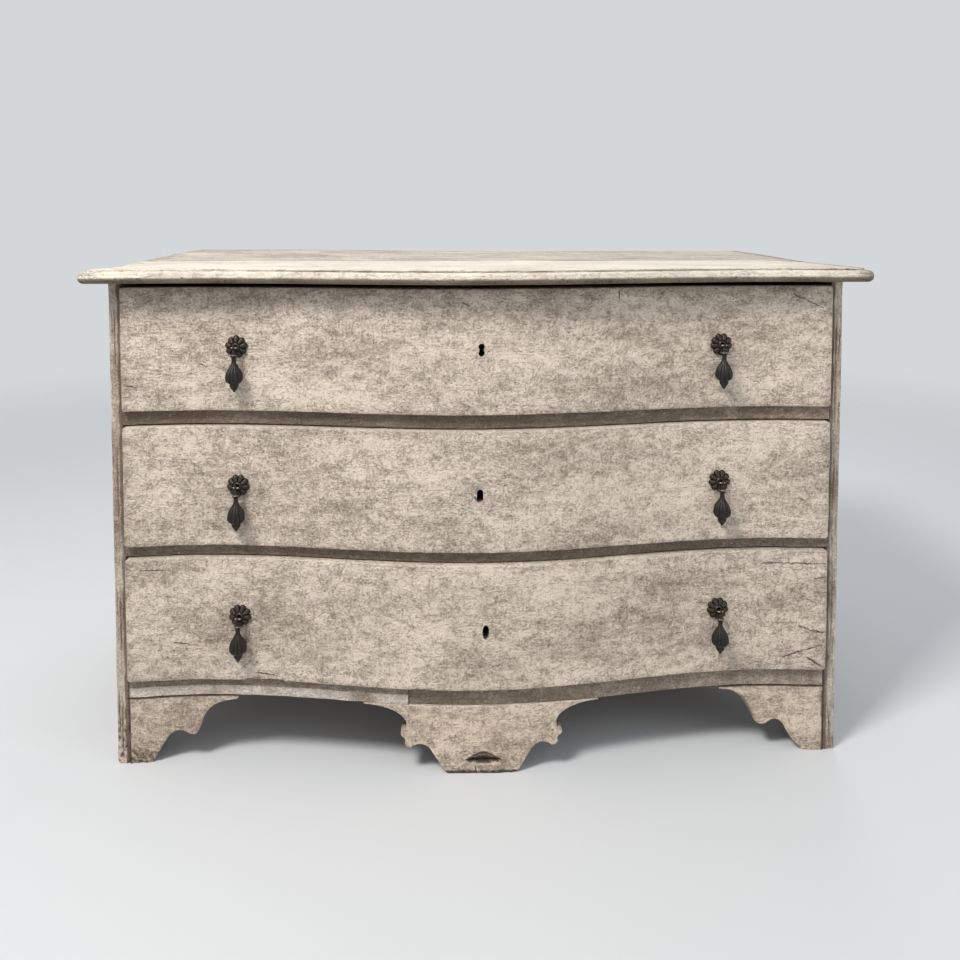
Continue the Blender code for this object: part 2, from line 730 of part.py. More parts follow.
def make_bracket_feet():
    """The bracket feet: a curved slab kept where it meets the shaped outline, with a block behind."""
    front_low = FRONT_Y - BOW
    front_high = FRONT_Y + HOLLOW + BRACKET_THICKNESS + CUT_OVERRUN
    for side, hand in (("left", -1), ("right", 1)):
        ends = sorted((hand * (INNER_X - BRACKET_LENGTH - CUT_OVERRUN), hand * (INNER_X + CUT_OVERRUN)))
        plan = curved_outline(*ends, RAIL_PROUD, BRACKET_THICKNESS)
        slab = plate(f"foot_bracket_{side}", plan, "XY", -CUT_OVERRUN, ARCH_HEIGHT + CUT_OVERRUN)
        profile = [(hand * (INNER_X - along), height) for along, height in bracket_profile()]
        shape = plate(f"foot_bracket_{side}.shape", profile, "XZ", front_low, front_high)
        combine(slab, shape, "INTERSECT")
        finish(slab, LIMED_OAK)
        block_ends = sorted((hand * (INNER_X - FIT), hand * (INNER_X - FOOT_BLOCK_WIDTH)))
        behind = RAIL_PROUD - BRACKET_THICKNESS - FIT
        block_back = FRONT_Y + BRACKET_THICKNESS + FOOT_BLOCK_DEPTH
        block_plan = front_outline(*block_ends, behind, block_back)
        block = plate(f"foot_block_{side}", block_plan, "XY", FOOT_BLOCK_LIFT, ARCH_HEIGHT - FIT)
        finish(block, BARE_OAK)


def pendant_half_profile():
    """Front view of the pendant's right half: distances from the middle, and heights, from foot to tip."""
    top = ARCH_HEIGHT - FIT
    feather = top - BRACKET_FEATHER
    scoop_rise = feather - PENDANT_SCOOP_FLOOR
    notch_at = (PENDANT_NOTCH_PLACE, PENDANT_NOTCH_TOP - PENDANT_NOTCH_RADIUS)
    notch = arc(notch_at, PENDANT_NOTCH_RADIUS, 150, 40, 5)
    lower_at = (PENDANT_LOWER_LOBE_PLACE, PENDANT_LOWER_LOBE_HEIGHT)
    lower = arc(lower_at, PENDANT_LOWER_LOBE_RADIUS, -110, 45, 5)
    upper_at = (PENDANT_UPPER_LOBE_PLACE, PENDANT_UPPER_LOBE_HEIGHT)
    upper = arc(upper_at, PENDANT_UPPER_LOBE_RADIUS, -75, 100, 5)
    scoop_at = (PENDANT_HALF_LENGTH, PENDANT_SCOOP_FLOOR)
    scoop = arc(scoop_at, (-PENDANT_SCOOP_REACH, scoop_rise), 3, 90, 7)
    foot = [(PENDANT_FOOT_HALF_WIDTH, 0), (PENDANT_HEEL_PLACE, PENDANT_HEEL_HEIGHT)]
    return [*foot, *notch, *lower, *upper, *scoop, (PENDANT_HALF_LENGTH, top)]


def make_pendant():
    """The middle pendant: a curved slab kept where it meets the shaped outline."""
    right = pendant_half_profile()
    left = [(-x, height) for x, height in reversed(right)]
    reach = PENDANT_HALF_LENGTH + CUT_OVERRUN
    plan = curved_outline(-reach, reach, RAIL_PROUD, PENDANT_THICKNESS)
    slab = plate("apron_pendant", plan, "XY", -CUT_OVERRUN, ARCH_HEIGHT + CUT_OVERRUN)
    front_low = FRONT_Y - BOW
    front_high = FRONT_Y + HOLLOW + PENDANT_THICKNESS + CUT_OVERRUN
    shape = plate("apron_pendant.shape", [*right, *left], "XZ", front_low, front_high)
    combine(slab, shape, "INTERSECT")
    finish(slab, LIMED_OAK)


def make_inner_case():
    """Bottom board, back planks and the runners that the drawers slide on."""
    rail_back = FRONT_Y + RAIL_DEPTH + FIT
    bottom_top = BASE_RAIL_TOP - RUNNER_THICKNESS - FIT
    bottom_floor = BASE_RAIL_TOP - RUNNER_THICKNESS - BOTTOM_THICKNESS
    back_half = INNER_X + BACK_REBATE
    seam = bottom_floor + (PLANK_TOP - bottom_floor) * BACK_SEAM_SHARE
    reach = INNER_X + BOTTOM_HOUSING
    board = box("bottom_board", (-reach, rail_back, bottom_floor), (reach, BACK_FACE_Y - FIT, bottom_top))
    lower = box("back_lower_plank", (-back_half, BACK_FACE_Y, bottom_floor), (back_half, BACK_Y, seam - FIT / 2))
    upper = box("back_upper_plank", (-back_half, BACK_FACE_Y, seam + FIT / 2), (back_half, BACK_Y, PLANK_TOP - FIT))
    for piece in (board, lower, upper):
        finish(piece, BARE_OAK)
    for drawer in DRAWERS:
        outer = INNER_X - FIT if drawer is LOWER else INNER_X + RUNNER_HOUSING
        for side, hand in (("left", -1), ("right", 1)):
            ends = sorted((hand * outer, hand * (INNER_X - RUNNER_WIDTH)))
            low = (ends[0], rail_back, runner_height(drawer))
            high = (ends[1], BACK_FACE_Y - FIT, drawer.floor)
            finish(box(f"runner_{drawer.name}_{side}", low, high), BARE_OAK)


def tail_places(low, high):
    """Centre, half root and half tip of each dovetail between two heights."""
    pitch = (high - low) / TAIL_COUNT
    half_root = pitch * TAIL_ROOT_SHARE / 2
    half_tip = pitch * TAIL_TIP_SHARE / 2
    return [(low + pitch * (index + 0.5), half_root, half_tip) for index in range(TAIL_COUNT)]


def back_floor(drawer):
    """Height of the drawer back's lower edge, which stands on the drawer's bottom board."""
    return drawer.low + DRAWER_BOTTOM_LIFT + DRAWER_BOTTOM_THICKNESS + FIT


def drawer_side_outline(drawer):
    """Side view of a drawer side: tails into the front, tails through the back, a full lower edge."""
    front = FRONT_INNER_Y + FIT
    tip = FRONT_INNER_Y - TAIL_LENGTH
    root = DRAWER_REAR_Y - DRAWER_BACK_THICKNESS - FIT
    back_low = back_floor(drawer)
    outline = [(front, drawer.low), (DRAWER_REAR_Y, drawer.low), (DRAWER_REAR_Y, back_low - FIT)]
    outline.append((root, back_low - FIT))
    for centre, half_root, half_tip in tail_places(back_low, drawer.side_top):
        outline += [(root, centre - half_root), (DRAWER_REAR_Y, centre - half_tip)]
        outline += [(DRAWER_REAR_Y, centre + half_tip), (root, centre + half_root)]
    outline += [(root, drawer.side_top), (front, drawer.side_top)]
    for centre, half_root, half_tip in reversed(tail_places(drawer.low, drawer.side_top)):
        outline += [(front, centre + half_root), (tip, centre + half_tip)]
        outline += [(tip, centre - half_tip), (front, centre - half_root)]
    return outline


def socket_outlines(low, high, root_y, tip_y, beyond):
    """Side view of the sockets that receive the tails, larger than them by FIT and open at the root."""
    way = math.copysign(1, tip_y - root_y)
    mouth = root_y - way * CUT_OVERRUN
    end = tip_y + way * beyond
    outlines = []
    for centre, half_root, half_tip in tail_places(low, high):
        half = [(mouth, half_root + FIT), (root_y, half_root + FIT), (tip_y, half_tip + FIT), (end, half_tip + FIT)]
        below = [(y, centre - reach) for y, reach in half]
        above = [(y, centre + reach) for y, reach in reversed(half)]
        outlines.append([*below, *above])
    return outlines


def cut_sockets(piece, outlines):
    """Cut sockets into both ends of a drawer's front or back."""
    for index, outline in enumerate(outlines):
        for side, hand in (("left", -1), ("right", 1)):
            reach = sorted((hand * (DRAWER_HALF - SIDE_THICKNESS - FIT), hand * (DRAWER_HALF + CUT_OVERRUN)))
            cut(piece, plate(f"{piece.name}.socket_{side}_{index + 1}", outline, "YZ", *reach))


def bottom_corners(drawer, grow):
    """Two opposite corners of a drawer's bottom board, or of the groove it lies in when grown."""
    half = DRAWER_HALF - SIDE_THICKNESS + GROOVE_DEPTH + grow
    floor = drawer.low + DRAWER_BOTTOM_LIFT
    low = (-half, FRONT_INNER_Y - GROOVE_DEPTH - grow, floor - grow)
    rear = DRAWER_REAR_Y + (CUT_OVERRUN if grow else 0)
    return low, (half, rear, floor + DRAWER_BOTTOM_THICKNESS + grow)


def keyhole_outline(drawer):
    """Front view of a keyhole: a waisted one, a round-topped slot or an oval."""
    x, z = drawer.key_x, drawer.key_height
    if drawer.keyhole == "oval":
        return arc((x, z), (OVAL_WIDTH / 2, OVAL_HEIGHT / 2), 0, 360 - 360 / ROUND_STEPS, ROUND_STEPS - 1)
    if drawer.keyhole == "slot":
        radius = SLOT_WIDTH / 2
        round_top = arc((x, z + SLOT_HEIGHT / 2 - radius), radius, 0, 180, ROUND_STEPS // 2)
        return [(x + radius, z - SLOT_HEIGHT / 2), *round_top, (x - radius, z - SLOT_HEIGHT / 2)]
    head = arc((x, z + KEYHOLE_HEIGHT / 2 - KEYHOLE_HEAD_RADIUS), KEYHOLE_HEAD_RADIUS, -40, 220, 9)
    skirt_at = (x, z - KEYHOLE_HEIGHT / 2 + KEYHOLE_SKIRT / 2)
    skirt = arc(skirt_at, KEYHOLE_SKIRT / 2, 180, 360, 6)
    waist_half = KEYHOLE_WAIST / 2
    return [(x + waist_half, z), *head, (x - waist_half, z), *skirt]


def make_drawer_front(drawer):
    """A drawer front: serpentine outside and flat inside, with sockets, groove, lock and pull holes."""
    plan = front_outline(-DRAWER_HALF, DRAWER_HALF, DRAWER_PROUD, FRONT_INNER_Y)
    front = plate(f"{drawer.name}_drawer_front", plan, "XY", drawer.low, drawer.high)
    ease_edges(front, FRONT_ARRIS, lambda place: place.y < FRONT_INNER_Y - MERGE_DISTANCE)
    tail_tip = FRONT_INNER_Y - TAIL_LENGTH
    sockets = socket_outlines(drawer.low, drawer.side_top, FRONT_INNER_Y, tail_tip, FIT)
    cut_sockets(front, sockets)
    cut_box(front, "groove", *bottom_corners(drawer, FIT))
    lock_low, lock_high = lock_corners(drawer)
    pocket_low = Vector(lock_low) - Vector((FIT, FIT, FIT))
    pocket_high = Vector((lock_high[0] + FIT, FRONT_INNER_Y + CUT_OVERRUN, lock_high[2] + FIT))
    cut_box(front, "lock_pocket", pocket_low, pocket_high)
    half_width = BOLT_WIDTH / 2 + BOLT_CLEARANCE
    half_depth = BOLT_THICKNESS / 2 + BOLT_CLEARANCE
    slot_low = (drawer.key_x - half_width, BOLT_Y - half_depth, lock_high[2] - CUT_OVERRUN)
    slot_high = (drawer.key_x + half_width, BOLT_Y + half_depth, drawer.high + CUT_OVERRUN)
    cut_box(front, "bolt_slot", slot_low, slot_high)
    face_y = FRONT_Y - DRAWER_PROUD - BOW
    hole = plate(f"{front.name}.keyhole", keyhole_outline(drawer), "XZ", face_y, LOCK_Y + CUT_OVERRUN)
    cut(front, hole)
    for side, hand in (("left", -1), ("right", 1)):
        place, normal, depth = pull_seat(drawer, hand)
        start = place + normal * CUT_OVERRUN
        end = place - normal * (depth + CUT_OVERRUN)
        bore = cylinder(f"{front.name}.{side}_pull_hole", start, end, PULL_HOLE_RADIUS, ROUND_STEPS)
        cut(front, bore)
    shade_smooth(front)
    return finish(front, LIMED_OAK)


def make_drawer_box(drawer):
    """The two sides, the back and the bottom of a drawer."""
    pieces = []
    for side, hand in (("left", -1), ("right", 1)):
        faces = sorted((hand * DRAWER_HALF, hand * (DRAWER_HALF - SIDE_THICKNESS)))
        outline = drawer_side_outline(drawer)
        board = plate(f"{drawer.name}_drawer_side_{side}", outline, "YZ", *faces)
        cut_box(board, "groove", *bottom_corners(drawer, FIT))
        pieces.append(board)
    low = (-DRAWER_HALF, DRAWER_REAR_Y - DRAWER_BACK_THICKNESS, back_floor(drawer))
    back = box(f"{drawer.name}_drawer_back", low, (DRAWER_HALF, DRAWER_REAR_Y, drawer.side_top))
    root = DRAWER_REAR_Y - DRAWER_BACK_THICKNESS
    cut_sockets(back, socket_outlines(back_floor(drawer), drawer.side_top, root, DRAWER_REAR_Y, CUT_OVERRUN))
    pieces.append(back)
    pieces.append(box(f"{drawer.name}_drawer_bottom", *bottom_corners(drawer, 0)))
    return [finish(piece, BARE_OAK) for piece in pieces]


def lock_corners(drawer):
    """Two opposite corners of a drawer's lock case."""
    low = (drawer.key_x - LOCK_WIDTH / 2, LOCK_Y, drawer.key_height - LOCK_BELOW_KEY)
    high = (drawer.key_x + LOCK_WIDTH / 2, LOCK_Y + LOCK_THICKNESS, drawer.high - LOCK_TOP_DROP)
    return low, high


def post_height(drawer):
    """Height of the post that a hollow key turns on."""
    return drawer.key_height + LOCK_POST_LIFT


def make_lock_case(drawer):
    """The iron case of a lock: hollow, with a slot for the bolt, an opening for the key and its post."""
    low, high = (Vector(corner) for corner in lock_corners(drawer))
    wall = Vector((LOCK_WALL, LOCK_WALL, LOCK_WALL))
    case = box(f"{drawer.name}_lock_case", low, high)
    cut_box(case, "hollow", low + wall, high - wall)
    half_width = BOLT_WIDTH / 2 + FIT
    half_depth = BOLT_THICKNESS / 2 + FIT
    slot_low = (drawer.key_x - half_width, BOLT_Y - half_depth, high.z - LOCK_WALL - FIT)
    slot_high = (drawer.key_x + half_width, BOLT_Y + half_depth, high.z + CUT_OVERRUN)
    cut_box(case, "bolt_slot", slot_low, slot_high)
    half_slot = LOCK_SLOT_WIDTH / 2
    key_low = (drawer.key_x - half_slot, low.y - CUT_OVERRUN, drawer.key_height - LOCK_SLOT_HEIGHT / 2)
    key_high = (drawer.key_x + half_slot, low.y + LOCK_WALL + FIT, drawer.key_height + LOCK_SLOT_HEIGHT / 2)
    cut_box(case, "key_slot", key_low, key_high)
    post_z = post_height(drawer)
    post_start = (drawer.key_x, low.y + FIT, post_z)
    post_end = (drawer.key_x, high.y - LOCK_WALL / 2, post_z)
    post = cylinder(f"{case.name}.post", post_start, post_end, LOCK_POST_RADIUS, ROUND_STEPS)
    combine(case, post, "UNION")
    finish(case, LOCK_IRON)
    return case


def bolt_outline(drawer):
    """Front view of a bolt: a stem up through the front, shoulders that stop it under the lock's roof, and
    a tail down to the key post, notched by the talon that the key's bit lifts."""
    head_top = drawer.high - LOCK_TOP_DROP - LOCK_WALL - drawer.throw - BOLT_CLEARANCE
    tail_end = post_height(drawer) + LOCK_POST_RADIUS + BOLT_TAIL_GAP
    talon = arc((0, tail_end), BOLT_TALON_RADIUS, 90, 0, 4)
    half_outline = [
        *talon,
        (BOLT_TAIL_WIDTH / 2, tail_end),
        (BOLT_TAIL_WIDTH / 2, head_top - BOLT_HEAD_HEIGHT),
        (BOLT_HEAD_WIDTH / 2, head_top - BOLT_HEAD_HEIGHT),
        (BOLT_HEAD_WIDTH / 2, head_top),
        (BOLT_WIDTH / 2, head_top),
        (BOLT_WIDTH / 2, drawer.high - BOLT_DROP),
    ]
    right = [(drawer.key_x + across, height) for across, height in half_outline]
    left = [(drawer.key_x - across, height) for across, height in reversed(half_outline[1:])]
    return [*right, *left]


def make_lock_bolt(drawer):
    """The flat bolt, with its origin at the middle of its upper end."""
    faces = (BOLT_Y - BOLT_THICKNESS / 2, BOLT_Y + BOLT_THICKNESS / 2)
    bolt = plate(f"{drawer.name}_lock_bolt", bolt_outline(drawer), "XZ", *faces)
    move_origin(bolt, (drawer.key_x, BOLT_Y, drawer.high - BOLT_DROP))
    return finish(bolt, LOCK_IRON)


def pull_seat(drawer, hand):
    """Where a pull sits: its centre on the drawer's face, the face's normal there and the wood's depth."""
    x = hand * PULL_X
    turn = math.atan(-bow_slope(x))
    normal = Vector((math.sin(turn), -math.cos(turn), 0))
    face_y = FRONT_Y - DRAWER_PROUD - bow(x)
    depth = (FRONT_INNER_Y - face_y) / math.cos(turn)
    return Vector((x, face_y, drawer.pull_height)), normal, depth


def lathe(name, profile, steps, swell, closed):
    """Turn a profile of (radius, place) about local Z, with swell(turn, index) as a factor on both.

    A closed profile makes a ring about an open hole. An open one starts and ends in a flat cap.
    """
    bm = bmesh.new()
    rings = []
    for index, (radius, place) in enumerate(profile):
        ring = []
        for step in range(steps):
            turn = 2 * math.pi * step / steps
            wide, high = swell(turn, index)
            across = radius * wide
            ring.append(bm.verts.new((across * math.cos(turn), across * math.sin(turn), place * high)))
        rings.append(ring)
    pairs = list(zip(rings, rings[1:]))
    if closed:
        pairs.append((rings[-1], rings[0]))
    for lower, upper in pairs:
        for step in range(steps):
            after = (step + 1) % steps
            bm.faces.new((lower[step], lower[after], upper[after], upper[step]))
    if not closed:
        bm.faces.new(rings[0])
        bm.faces.new(list(reversed(rings[-1])))
    return mesh_piece(name, bm)


def rosette_mesh():
    """The petalled rosette about local -Y: a pierced boss, a sunk ring and a round of petals."""
    profile = (
        (PULL_HOLE_RADIUS, 0.0),
        (ROSETTE_RADIUS, 0.0),
        (ROSETTE_RADIUS, PETAL_EDGE_HEIGHT),
        (PETAL_CREST_RADIUS, PETAL_CREST_HEIGHT),
        (BOSS_RADIUS, BOSS_FOOT_HEIGHT),
        (BOSS_TOP_RADIUS, BOSS_HEIGHT),
        (PULL_HOLE_RADIUS, BOSS_HEIGHT),
    )
    petal_rows = (1, 2, 3)

    def petals(turn, index):
        if index not in petal_rows:
            return 1.0, 1.0
        dip = 1 - abs(math.cos(PETAL_COUNT * turn / 2))
        return 1 - PETAL_NOTCH_SHARE * dip, 1 - PETAL_DIP_SHARE * dip

    piece = lathe("rosette", profile, PETAL_COUNT * PETAL_STEPS, petals, True)
    piece.data.transform(Matrix.Rotation(math.pi / 2, 4, "X"))
    shade_smooth(piece)
    mesh = piece.data
    bpy.data.objects.remove(piece, do_unlink=True)
    return mesh


def drop_mesh():
    """The drop, hanging from its pivot at the origin: an eye pierced along X, a neck and a fluted pear."""
    profile = [(share * DROP_RADIUS, -below * DROP_LENGTH) for below, share in DROP_OUTLINE_SHARES]

    def flutes(turn, index):
        below = DROP_OUTLINE_SHARES[index][0]
        if not FLUTED_FROM_SHARE < below < FLUTED_TO_SHARE:
            return 1.0, 1.0
        dip = 1 - abs(math.cos(FLUTE_COUNT * turn / 2))
        return 1 - FLUTE_DEPTH_SHARE * dip, 1.0

    body = lathe("drop", profile, FLUTE_COUNT * FLUTE_STEPS, flutes, False)
    half = EYE_THICKNESS / 2
    eye = cylinder("drop.eye", (-half, 0, -EYE_HOLE_DROP), (half, 0, -EYE_HOLE_DROP), EYE_RADIUS, ROUND_STEPS)
    shank_half = EYE_RADIUS * 0.7
    shank_floor = -DROP_LENGTH * DROP_OUTLINE_SHARES[CROWN_ROW][0]
    shank = box("drop.shank", (-half, -shank_half, shank_floor), (half, shank_half, -EYE_RADIUS * 0.8))
    reach = half + CUT_OVERRUN
    hole = cylinder(
        "drop.hole", (-reach, 0, -EYE_HOLE_DROP), (reach, 0, -EYE_HOLE_DROP), EYE_HOLE_RADIUS, ROUND_STEPS
    )
    for other in (shank, eye):
        combine(body, other, "UNION")
    cut(body, hole)
    bpy.context.view_layer.update()
    graph = bpy.context.evaluated_depsgraph_get()
    mesh = bpy.data.meshes.new_from_object(body.evaluated_get(graph))
    mesh.name = "drop"
    for spent in (body, shank, eye, hole):
        bpy.data.objects.remove(spent, do_unlink=True)
    mesh.shade_smooth()
    mesh.set_sharp_from_angle(angle=SMOOTH_ANGLE)
    return mesh


def split_pin_points(depth, tilt):
    """Centre line of the split pin in its seat's frame: up one leg, round the loop and back down.

    Local -Y points out of the drawer's face and Z up. The legs end clinched against the inner face, one
    leg up and one down. That face leans by tilt, so each leg's depth follows it.
    """
    front = -PIVOT_REACH
    shoulder = front + PIN_SHOULDER
    neck = -(BOSS_HEIGHT + PIN_RADIUS / 2)
    bend = [math.radians(angle) for angle in (0, 45, 90)]
    legs = []
    for hand in (-1, 1):
        x = hand * PIN_LEG_OFFSET
        inside = depth + PIN_INSIDE_GAP + PIN_RADIUS + abs(x * math.tan(tilt))
        up = -hand
        leg = [(x, inside, up * PIN_CLINCH)]
        for turn in bend:
            leg.append(
                (
                    x,
                    inside - PIN_BEND_RADIUS * (1 - math.cos(turn)),
                    up * PIN_BEND_RADIUS * (1 - math.sin(turn)),
                )
            )
        leg += [(x, neck, 0), (hand * PIN_LOOP_HALF_WIDTH, shoulder, 0)]
        corner_x = hand * (PIN_LOOP_HALF_WIDTH + PIN_LOOP_FLAT_HALF) / 2
        leg += [(corner_x + hand * PIN_RADIUS / 2, front + PIN_RADIUS, 0), (hand * PIN_LOOP_FLAT_HALF, front, 0)]
        legs.append(leg)
    return [*legs[0], *reversed(legs[1])]


def make_pulls(drawer, holder, rosette, drop):
    """The two drop pulls of a drawer, each square to the serpentine where it sits."""
    for side, hand in (("left", -1), ("right", 1)):
        place, normal, depth = pull_seat(drawer, hand)
        turn = math.atan2(normal.x, -normal.y)
        seat = guide(f"{drawer.name}_pull_{side}", place, turn, holder)
        plate_piece = bpy.data.objects.new(f"{drawer.name}_rosette_{side}", rosette)
        pin = tube(f"{drawer.name}_cotter_{side}", split_pin_points(depth, turn), PIN_RADIUS)
        hanging = bpy.data.objects.new(f"{drawer.name}_drop_{side}", drop)
        plate_piece.location = (0, -ROSETTE_SEAT, 0)
        petal_up = drawer is UPPER and side == "left"
        plate_piece.rotation_euler = (0, PETAL_UP_TURN if petal_up else NOTCH_UP_TURN, 0)
        hanging.location = (0, -PIVOT_REACH, 0)
        for piece in (plate_piece, pin, hanging):
            piece.parent = seat
            finish(piece, DARK_BRASS)


def make_drawers():
    """The three drawers, each carried by a guide at the middle of its front's lower edge."""
    rosette = rosette_mesh()
    drop = drop_mesh()
    for drawer in DRAWERS:
        holder = guide(f"{drawer.name}_drawer", (0, FRONT_INNER_Y, drawer.low))
        pieces = [make_drawer_front(drawer), *make_drawer_box(drawer)]
        pieces += [make_lock_case(drawer), make_lock_bolt(drawer)]
        for piece in pieces:
            attach(piece, holder)
        make_pulls(drawer, holder, rosette, drop)


make_top()
make_side_planks()
make_rails()
make_bracket_feet()
make_pendant()
make_inner_case()
make_drawers()
bpy.context.view_layer.update()
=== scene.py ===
"""Looks of a serpentine oak commode chest: limed and worn boards, bare insides and blackened drop pulls.

Each sub-assembly is a class that knows its sizes, works out its surfaces as numpy arrays and dresses them
in a finish. Lengths are in metres. +X is the chest's right-hand side seen from the front, +Y its back and
+Z up. Pieces that replace a plain solid keep its place and size.
"""

import logging
import math
from dataclasses import dataclass, field
from enum import Enum
from functools import partial
from typing import Callable, ClassVar, Sequence

import bmesh
import bpy
import numpy as np
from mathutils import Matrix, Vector
from mathutils.geometry import delaunay_2d_cdt


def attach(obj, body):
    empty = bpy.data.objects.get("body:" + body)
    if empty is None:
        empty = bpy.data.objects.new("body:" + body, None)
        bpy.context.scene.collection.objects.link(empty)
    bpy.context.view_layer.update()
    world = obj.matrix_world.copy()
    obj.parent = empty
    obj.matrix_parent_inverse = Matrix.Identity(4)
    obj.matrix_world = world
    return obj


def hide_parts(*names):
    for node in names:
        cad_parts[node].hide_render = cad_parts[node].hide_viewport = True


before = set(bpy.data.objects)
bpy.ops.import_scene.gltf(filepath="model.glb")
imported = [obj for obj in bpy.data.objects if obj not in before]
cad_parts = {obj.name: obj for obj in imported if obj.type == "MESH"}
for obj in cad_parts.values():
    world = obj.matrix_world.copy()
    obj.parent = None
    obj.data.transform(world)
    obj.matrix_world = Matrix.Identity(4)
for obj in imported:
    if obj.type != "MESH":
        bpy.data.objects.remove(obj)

log = logging.getLogger("commode_chest")
Array = np.ndarray
Material = bpy.types.Material
Piece = bpy.types.Object
Socket = bpy.types.NodeSocket
Pair = tuple[float, float]
Triple = tuple[float, float, float]
Shell = tuple[Array, list[list[int]]]
Lift = Callable[[Array, Array], Array]
Wires = dict[str, Socket]
Effect = Callable[["Bench", Wires], Wires]
EFFECTS: dict[str, bpy.types.NodeTree] = {}
VECTORS = ("place", "start", "end")
SIDES = (("left", -1), ("right", 1))
PAST = 0.004  # how far a cutter runs past the wood


# ------------------------------------------------ shapes


class Plane(Enum):
    """The plane that a flat outline is drawn in, as the world axes of (across, up, through)."""

    PLAN = (0, 1, 2)
    FRONT = (0, 2, 1)
    SIDE = (1, 2, 0)

    def place(self, outline: Array, through: Array | float) -> Array:
        """World places of outline points.

        Args:
            outline: The points.
            through: Their distances through the plane.

        Returns:
            The places.
        """
        places = np.zeros((len(outline), 3))
        places[:, self.value[0]], places[:, self.value[1]] = outline[:, 0], outline[:, 1]
        places[:, self.value[2]] = through
        return places


def ripple(places: Array, wavelength: float, seed: int) -> Array:
    """Smooth unevenness between about -1 and 1.

    Formula: the sum of nine sine waves in seeded directions, 0.6 to 1.8 times the wavelength long.

    Args:
        places: Points, one a row, in any number of dimensions.
        wavelength: Typical length of a wave.
        seed: Fixes directions and phases.

    Returns:
        One value for each point.
    """
    rng = np.random.default_rng(seed)
    heading = rng.normal(size=(9, places.shape[1]))
    heading *= 2 * np.pi / np.linalg.norm(heading, axis=1, keepdims=True)
    heading /= wavelength * rng.uniform(0.6, 1.8, (9, 1))
    return np.sin(places @ heading.T + rng.uniform(0, 2 * np.pi, 9)).sum(axis=1) / 4.5


def ease(low: float, high: float, value: Array) -> Array:
    """Zero below low, one above high, and the cubic 3s² - 2s³ between."""
    share = np.clip((value - low) / (high - low), 0, 1)
    return share * share * (3 - 2 * share)


def arc(centre: Pair, radius: float | Pair, start: float, end: float, steps: int) -> Array:
    """Points on a circle or ellipse.

    Args:
        centre: Its middle.
        radius: Its radius, or its radii across and up.
        start: The first point's angle in degrees.
        end: The last point's angle.
        steps: Steps between them.

    Returns:
        The points.
    """
    turns = np.radians(np.linspace(start, end, steps + 1))
    across, up = radius if isinstance(radius, tuple) else (radius, radius)
    return np.stack((centre[0] + across * np.cos(turns), centre[1] + up * np.sin(turns)), axis=1)


def spaced(points: Array, pitch: float, room: float = 0.003) -> Array:
    """Points at even distances round a loop, which keep its sharp corners.

    Args:
        points: The loop's points in order.
        pitch: Distance between the new points.
        room: Distance from a sharp corner to the first point on either side of it.

    Returns:
        The new loop.
    """
    edge = np.roll(points, -1, axis=0) - points
    edge = edge / np.linalg.norm(edge, axis=1, keepdims=True)
    sharp = np.flatnonzero((edge * np.roll(edge, 1, axis=0)).sum(axis=1) < math.cos(math.radians(24)))
    sharp = sharp if len(sharp) else np.array([0])
    loop = np.roll(points, -sharp[0], axis=0)
    ends = [*(sharp - sharp[0])[1:], len(points)]
    runs = []
    for start, end in zip(sharp - sharp[0], ends):
        line = np.vstack((loop[start:end], loop[end % len(loop)]))
        run = np.r_[0, np.cumsum(np.linalg.norm(np.diff(line, axis=0), axis=1))]
        clear = min(room, run[-1] / 3)
        count = max(1, round((run[-1] - 2 * clear) / pitch))
        stops = np.r_[0, np.linspace(clear, run[-1] - clear, count + 1)]
        runs.append(np.stack([np.interp(stops, run, line[:, axis]) for axis in (0, 1)], axis=1))
    return np.vstack(runs)


def flowing(points: Array, steps: int) -> Array:
    """A smooth curve through the points.

    Formula: Catmull-Rom, a cubic between each two points whose slopes are half the chord of the
    neighbours on either side.

    Args:
        points: The places to pass through.
        steps: Steps between each two of them.

    Returns:
        The curve's points.
    """
    points = np.asarray(points, float)
    padded = np.vstack((2 * points[0] - points[1], points, 2 * points[-1] - points[-2]))
    before, here, there, after = padded[:-3], padded[1:-2], padded[2:-1], padded[3:]
    share = np.linspace(0, 1, steps, endpoint=False)[None, :, None]
    slope_here, slope_there = (there - before)[:, None] / 2, (after - here)[:, None] / 2
    here, there = here[:, None], there[:, None]
    curve = here + slope_here * share + (3 * (there - here) - 2 * slope_here - slope_there) * share**2
    curve = curve + (2 * (here - there) + slope_here + slope_there) * share**3
    return np.vstack((curve.reshape(-1, points.shape[1]), points[-1:]))


def inward(loop: Array) -> Array:
    """Directions into a counter-clockwise loop, longer at corners so that both edges there move in alike.

    Formula: the mean of the two neighbouring edges' left normals over its squared length.

    Args:
        loop: The loop's points in order.

    Returns:
        A direction for each point.
    """
    edge = np.roll(loop, -1, axis=0) - loop
    normal = np.stack((-edge[:, 1], edge[:, 0]), axis=1) / np.linalg.norm(edge, axis=1, keepdims=True)
    mean = (normal + np.roll(normal, 1, axis=0)) / 2
    return mean / np.maximum((mean**2).sum(axis=1, keepdims=True), 0.5)


def drawn_in(loop: Array, into: Array, inset: Array) -> Array:
    """The loop moved in by an inset for each point."""
    return loop + into * inset[:, None]


